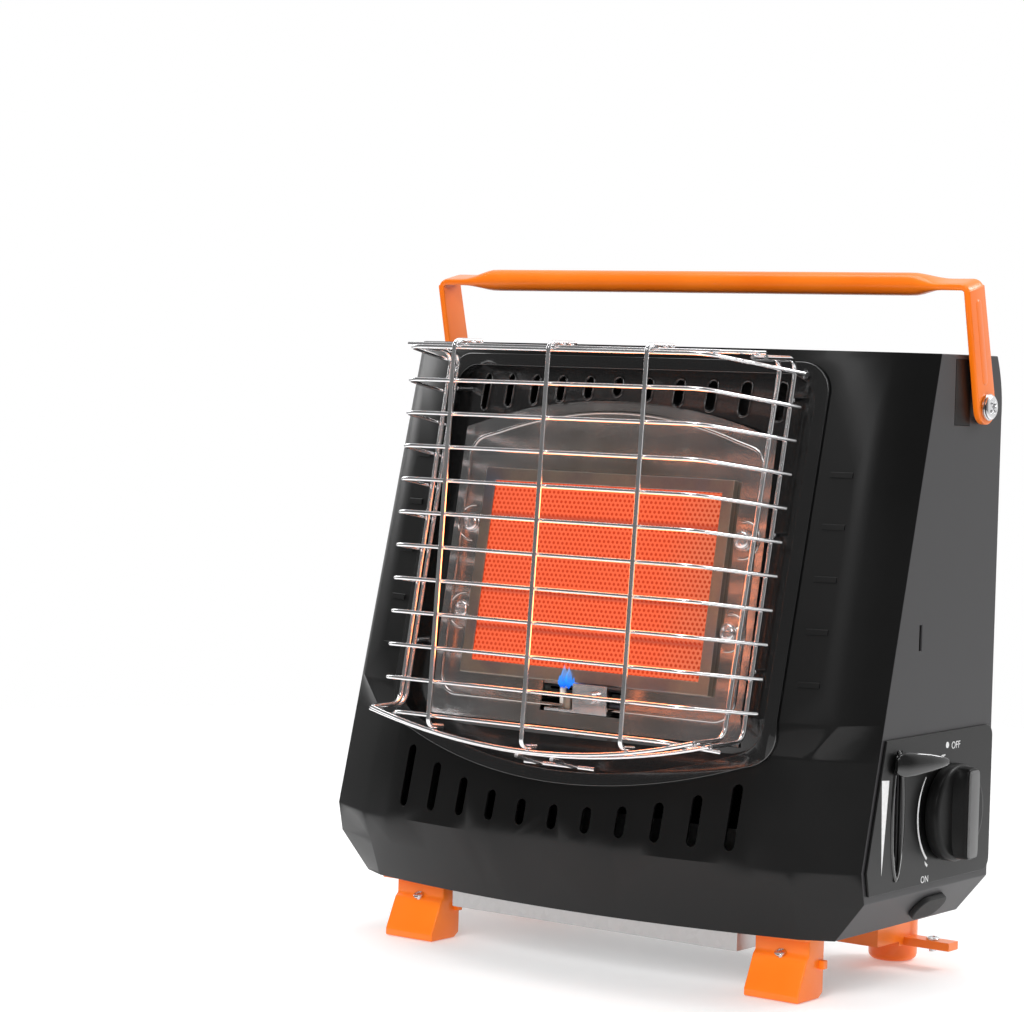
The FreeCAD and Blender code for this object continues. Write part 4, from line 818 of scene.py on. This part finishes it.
# Screws with cross recesses: the head's radius, height and sides, and the shank's profile and sides
screws = {
    "reflector": {"head": (3.6, 2.0, 40), "sides": 20, "seat": -1.2,
                  "shank": ((0.3, 0), (0.3, 1.55), (-6.0, 1.55), (-6.6, 0.6), (-6.6, 0)),
                  "places": ((69.9, 20.15), (-69.9, 20.15), (68.6, -17.8), (-68.6, -17.8))},
    "pivot": {"head": (5.0, 2.0, 48), "shank": ((0.3, 0), (0.3, 2.5), (-11.3, 2.5), (-11.3, 0)),
              "sides": 32, "seat": 140.1,
              "nut": ((-10.3, 0), (-10.3, 4.1), (-9.9, 4.5), (-6.7, 4.5), (-6.3, 4.1), (-6.3, 0))},
    "toe": {"head": (2.5, 1.2, 32), "shank": ((0.2, 0), (0.2, 1.5), (-2.5, 1.5), (-2.5, 0)), "sides": 16,
            "place": (-7.4, 18.2), "axis": (0, -0.42, 0.9)},
    "rear": {"head": (2.9, 1.4, 32), "shank": ((0.2, 0), (0.2, 1.55), (-5, 1.55), (-5, 0)), "sides": 16,
             "place": (108.0, 92.0, 11.5)},
}
# shares of the head's height and radius: where its dome starts, and the cross cut into it
crossCut = {"dome": 0.35, "flat": 0.98, "rings": 14, "arm": 0.16, "reach": 0.62, "depth": 0.55, "slope": 0.2}


def crossHead(mesh, place, axis, radius, height, steps):
    # a domed screw head with a cross recess, standing on place
    axis = Vector(axis).normalized()
    side = axis.orthogonal().normalized()
    up = axis.cross(side)
    dome, reach = crossCut["dome"], radius * crossCut["reach"]
    profile = [(0.0, 0.0), (0.0, radius)]
    for index in range(crossCut["rings"], -1, -1):
        far = index / crossCut["rings"]
        rise = dome + (1 - dome) * math.sqrt(1 - far * far * crossCut["flat"])
        profile.append((height * rise, radius * far))
    before = set(mesh.verts)
    spunProfile(mesh, profile, place, axis, steps)
    for vert in set(mesh.verts) - before:
        across, along = (vert.co - place).dot(side) * 1000, (vert.co - place).dot(up) * 1000
        near, far = min(abs(across), abs(along)), max(abs(across), abs(along))
        if near < radius * crossCut["arm"] and far < reach and (vert.co - place).dot(axis) > 0:
            depth = height * crossCut["depth"] * min(1, (reach - far) / (radius * crossCut["slope"]))
            vert.co -= axis * (depth / 1000)


def crossScrew(mesh, kind, seat, axis):
    size = screws[kind]
    crossHead(mesh, seat, axis, *size["head"])
    spunProfile(mesh, size["shank"], seat, axis, size["sides"])


def crossScrews():
    mesh = bmesh.new()
    for across, up in screws["reflector"]["places"]:
        crossScrew(mesh, "reflector", tilePlace(across, up, screws["reflector"]["seat"]), tileOut)
    finishPiece("reflector_cross_screws", mesh, "chrome_parts", "cabinet", ("reflector_screws",), smooth=40)
    mesh = bmesh.new()
    for side in (1, -1):
        seat = fromPivot(side * screws["pivot"]["seat"], 0, 0)
        crossScrew(mesh, "pivot", seat, (side, 0, 0))
        spunProfile(mesh, screws["pivot"]["nut"], seat, (side, 0, 0), 6)
    finishPiece("pivot_screws", mesh, "chrome_parts", "cabinet", ("handle_screws",), smooth=40)


# Front feet: a sloped toe under a flange, with a screw in the pocket between them. The flange and the tab
# are boxes from one corner to the other, the tab's x counted from the foot's right end.
frontFeet = {"right": 81.0, "left": -107.0, "wide": 26.0, "overhang": 6.0,
             "toe": ((-14, 0), (-14, 3), (-8, 16.5), (-6.4, 18), (-6.4, 26.5), (5, 26.5), (5, 2), (2, 0)),
             "flange": ((-9.5, 24.1), (5.0, 26.5)), "tab": ((-1.0, 1.0, 12.0), (2.5, 4.0, 15.5))}


def frontFoot(name, node, start):
    mesh = bmesh.new()
    outline = [mesh.verts.new(at(start, y, z)) for y, z in frontFeet["toe"]]
    drawOut(mesh, [mesh.faces.new(outline)], (frontFeet["wide"] / 1000, 0, 0))
    bmesh.ops.recalc_face_normals(mesh, faces=mesh.faces)
    bevelAll(mesh, 0.0006, 3, 18)
    end = start + frontFeet["wide"]
    low, high = frontFeet["flange"]
    tabLow, tabHigh = frontFeet["tab"]
    for part in (boxMesh(at(start - frontFeet["overhang"], *low), at(end, *high)),
                 boxMesh(at(end + tabLow[0], *tabLow[1:]), at(end + tabHigh[0], *tabHigh[1:]))):
        bevelAll(part, 0.0004, 2)
        joinMesh(mesh, part)
    finishPiece(name, mesh, "orange", "cabinet", (node,), smooth=40)


def footScrews():
    mesh = bmesh.new()
    for start in (frontFeet["right"], frontFeet["left"]):
        seat = at(start + frontFeet["wide"] / 2, *screws["toe"]["place"])
        crossScrew(mesh, "toe", seat, screws["toe"]["axis"])
    x, y, z = screws["rear"]["place"]
    for side in (1, -1):
        crossScrew(mesh, "rear", at(side * x, y, z), (0, 0, 1))
    finishPiece("foot_cross_screws", mesh, "chrome_parts", "cabinet", ("foot_screws",), smooth=40)


crossScrews()
frontFoot("toe_foot_right", "foot_front_right", frontFeet["right"])
frontFoot("toe_foot_left", "foot_front_left", frontFeet["left"])
footScrews()
for foot in ("foot_rear_right", "foot_rear_left"):
    softened(foot + "_moulded", foot, "orange", "cabinet", 0.0006, 3, 35, 40)
print("screws and feet made")


# Pressed beads: round rods half sunk into the sheet
def bead(name, paths, radius, slot, closed=False):
    curve = bpy.data.curves.new(name, "CURVE")
    curve.dimensions = "3D"
    curve.bevel_depth = radius / 1000
    curve.bevel_resolution = 3
    curve.use_fill_caps = True
    for path in paths:
        line = curve.splines.new("POLY")
        line.points.add(len(path) - 1)
        for point, place in zip(line.points, path):
            point.co = (*place, 1)
        line.use_cyclic_u = closed
    carrier = bpy.data.objects.new(name, curve)
    mesh = bmesh.new()
    mesh.from_mesh(bpy.data.meshes.new_from_object(carrier))
    bpy.data.objects.remove(carrier)
    return finishPiece(name, mesh, slot, smooth=50)


reflectorBeads = {"side": 75.5, "low": -54.0, "shoulder": 58.5, "crown": 70.5, "corner": 9.0, "sunk": -1.95,
                  "radius": 0.85, "crownTurn": 13.05, "crownSteps": 12, "crescent": 7.6,
                  "crescentRadius": 0.6}


def reflectorBorder():
    # an arched border, and a crescent round each screw
    side, low, shoulder, crown, corner, sunk, turn, steps = (
        reflectorBeads[words] for words in ("side", "low", "shoulder", "crown", "corner", "sunk", "crownTurn",
                                            "crownSteps"))
    inner, top = side - corner, shoulder - corner
    path = arcAt((-inner, low + corner), corner, range(180, 271, 15))
    path += arcAt((inner, low + corner), corner, range(270, 361, 15))
    path += arcAt((inner, top), corner, [turn * step for step in range(7)])
    for step in range(1, 2 * steps):
        across = inner * (1 - step / steps)
        path.append((across, shoulder + (crown - shoulder) * (1 - (across / inner) ** 2)))
    path += arcAt((-inner, top), corner, [180 - turn * (6 - step) for step in range(7)])
    bead("reflector_border", [[tilePlace(across, up, sunk) for across, up in path]], reflectorBeads["radius"],
         "polished", closed=True)
    crescents = []
    for middle in screws["reflector"]["places"]:
        facing = 0 if middle[0] > 0 else 180
        crescents.append([tilePlace(across, up, sunk) for across, up in
                          arcAt(middle, reflectorBeads["crescent"], range(facing - 100, facing + 101, 10))])
    bead("reflector_crescents", crescents, reflectorBeads["crescentRadius"], "polished")


reflectorBorder()


# Rolled rims round the vents of the recess
vents = {"each": 5, "span": 76.0, "wide": 4.4, "top": 247.5, "short": 8.0, "long": 16.0, "rim": 0.6,
         "clear": 0.25, "probe": (0.4, 0.3), "beside": 4.0}


def ventRims():
    surface = frontOf("recess_panel")
    paths = []
    depth = surface(vents["beside"], vents["top"] - vents["beside"]).y
    half = vents["wide"] / 2 + vents["clear"]
    probeX, probeZ = vents["probe"]
    for index in range(-vents["each"], vents["each"] + 1):
        middle = index * vents["span"] / vents["each"]
        length = vents["short"] + (vents["long"] - vents["short"]) * abs(index) / vents["each"]
        low, high = vents["top"] - length + vents["wide"] / 2, vents["top"] - vents["wide"] / 2
        outline = arcAt((middle, high), half, range(0, 181, 20))
        outline += arcAt((middle, low), half, range(180, 361, 20))
        path = []
        for x, z in outline:
            # the sheet is felt a little outside the vent, and the last depth serves where it isn't met
            hit = surface(x + math.copysign(probeX, x - middle),
                          z + math.copysign(probeZ, z - (low + high) / 2))
            depth = hit.y if hit else depth
            path.append(Vector((at(x, 0, 0).x, depth, at(0, 0, z).z)))
        paths.append(path)
    print("vent rims", len(paths))
    rims = bead("vent_rims", paths, vents["rim"], "gloss_black", closed=True)
    rims.data.materials[0] = plainFinish("glossy_vents", glossyLook)


ventRims()


# Pilot flame: blue tongues over the pilot's mouth, each (across, forward, tall, wide)
flame = {"mouth": (-6.0, -20.0, 117.0), "strength": 1.5, "tall": 11.0,
         "tongues": ((-4.6, 0.3, 8.0, 1.5), (-2.3, -0.8, 10.5, 1.7), (0.2, -0.9, 9.5, 1.7),
                     (2.6, 0.2, 7.5, 1.4)),
         "profile": ((0, 0), (0.2, 0.8), (0.4, 1), (0.65, 0.65), (0.88, 0.2), (1, 0)),
         "tones": [(0.0, (0.01, 0.10, 0.75, 1)), (0.45, (0.03, 0.30, 1.0, 1)), (0.9, (0.35, 0.55, 1.0, 1))]}


def blueFlame():
    finish = Finish("blue_flame", {"Base Color": grey(0.0), "Roughness": 1.0, "Specular IOR Level": 0.0,
                                   "Emission Strength": flame["strength"]})
    low = at(*flame["mouth"]).z
    rise = finish.node("ShaderNodeSeparateXYZ", {}, [finish.spot()], output="Z")
    high = finish.span(rise, 0, 1, low, low + flame["tall"] / 1000)
    lick = finish.noise(300, 2)
    finish.set({"Emission Color": finish.ramp(high + (lick - 0.5) * 0.3, flame["tones"]),
                "Alpha": finish.span(high, 0.7, 0.08, 0.25, 0.95)})
    return finish.material


def pilotFlame():
    mesh = bmesh.new()
    x, y, z = flame["mouth"]
    for across, forward, tall, wide in flame["tongues"]:
        profile = [(tall * along, wide * radius) for along, radius in flame["profile"]]
        spunProfile(mesh, profile, at(x + across, y + forward, z), (0, 0, 1), 20)
    finishPiece("pilot_flame", mesh, "chrome_parts", material=blueFlame(), smooth=60)


pilotFlame()


# Painted shade: a dark sheet inside the door's air slots, so they look as dark as the shaded inside of the heater
slotShadeSizes = {"wide": (-112.0, 78.0), "high": (40.0, 100.0), "face": 86.6, "thick": 0.5}


def paintedSlotShade():
    (left, right), (low, high), face = slotShadeSizes["wide"], slotShadeSizes["high"], slotShadeSizes["face"]
    mesh = boxMesh(at(left, face - slotShadeSizes["thick"], low), at(right, face, high))
    bevelAll(mesh, 0.0001, 1)
    # painted shade: near-black metal with a fine chequer, standing in for the dark inside behind the slots
    finish = Finish("painted_shade_sheet", {"Metallic": 1.0})
    chequer = finish.node("ShaderNodeTexChecker", {}, {"Vector": finish.place(), "Scale": 900}, output="Fac")
    finish.set({"Base Color": finish.blend(chequer, grey(0.01), grey(0.05)),
                "Roughness": finish.span(chequer, 0.5, 0.7), "Normal": finish.bump(chequer, 0.3, 0.0002)})
    finishPiece("door_slot_shade", mesh, "black_enamel", "door", material=finish.material, smooth=0)


paintedSlotShade()
print("beads, flame and gauze made")


# The heater's sheets, mouldings and castings with rounded edges: node, slot and body, then the rounding in
# metres and its steps, the angle from which an edge is rounded, and the angle up to which it is smooth
softParts = {
    "rolled_lip": ("opening_lip", "gloss_black", "cabinet", 0.0018, 5, 40, 60),
    "shell_edges": ("front_shell", "gloss_black", "cabinet", 0.0006, 3, 40, 27),
    "tile_frame": ("plaque_frame", "burner_steel", "cabinet", 0.0007, 3, 40, 50),
    "right_panel": ("side_panel_right", "satin_grey", "cabinet", 0.0004, 2, 40, 35),
    "left_panel": ("side_panel_left", "satin_grey", "cabinet", 0.0004, 2, 40, 35),
    "tray_folded": ("tray", "galvanised", "cabinet", 0.0003, 2, 40, 35),
    "bumper_soft": ("bumper_plug", "black_rubber", "cabinet", 0.0006, 3, 40, 50),
    "door_pull_soft": ("door_pull", "black_enamel", "door", 0.0004, 2, 40, 50),
    "pilot_bracket_folded": ("pilot_bracket", "chrome_parts", "cabinet", 0.0003, 2, 40, 40),
    "valve_cast": ("valve_body", "cast_metal", "cabinet", 0.0006, 2, 40, 40),
}
for name, settings in softParts.items():
    piece = softened(name, *settings)
    if name == "rolled_lip":
        piece.data.materials[0] = plainFinish("glossy_lip", glossyLook)
print("edges rounded")


# Floor
def studioFloor():
    mesh = bmesh.new()
    bmesh.ops.create_grid(mesh, x_segments=1, y_segments=1, size=studio["floorReach"])
    moved(mesh, Matrix.Translation((0, 0, -studio["floorDrop"])))
    data = bpy.data.meshes.new("floor")
    mesh.to_mesh(data)
    mesh.free()
    made = bpy.data.objects.new("floor", data)
    bpy.context.scene.collection.objects.link(made)
    finish = Finish("floor", {"Roughness": 0.8, "Emission Strength": studio["floorGlow"],
                              "Emission Color": grey(1.0)})
    far = finish.vectorMaths("LENGTH", finish.spot())
    finish.set({"Base Color": finish.blend(finish.noise(2, 3), studio["floor"], grey(studio["floorPatch"])),
                "Alpha": finish.span(far, 1, 0, *studio["floorFade"])})  # the floor fades into the backdrop
    data.materials.append(finish.material)
    return made


floor = studioFloor()
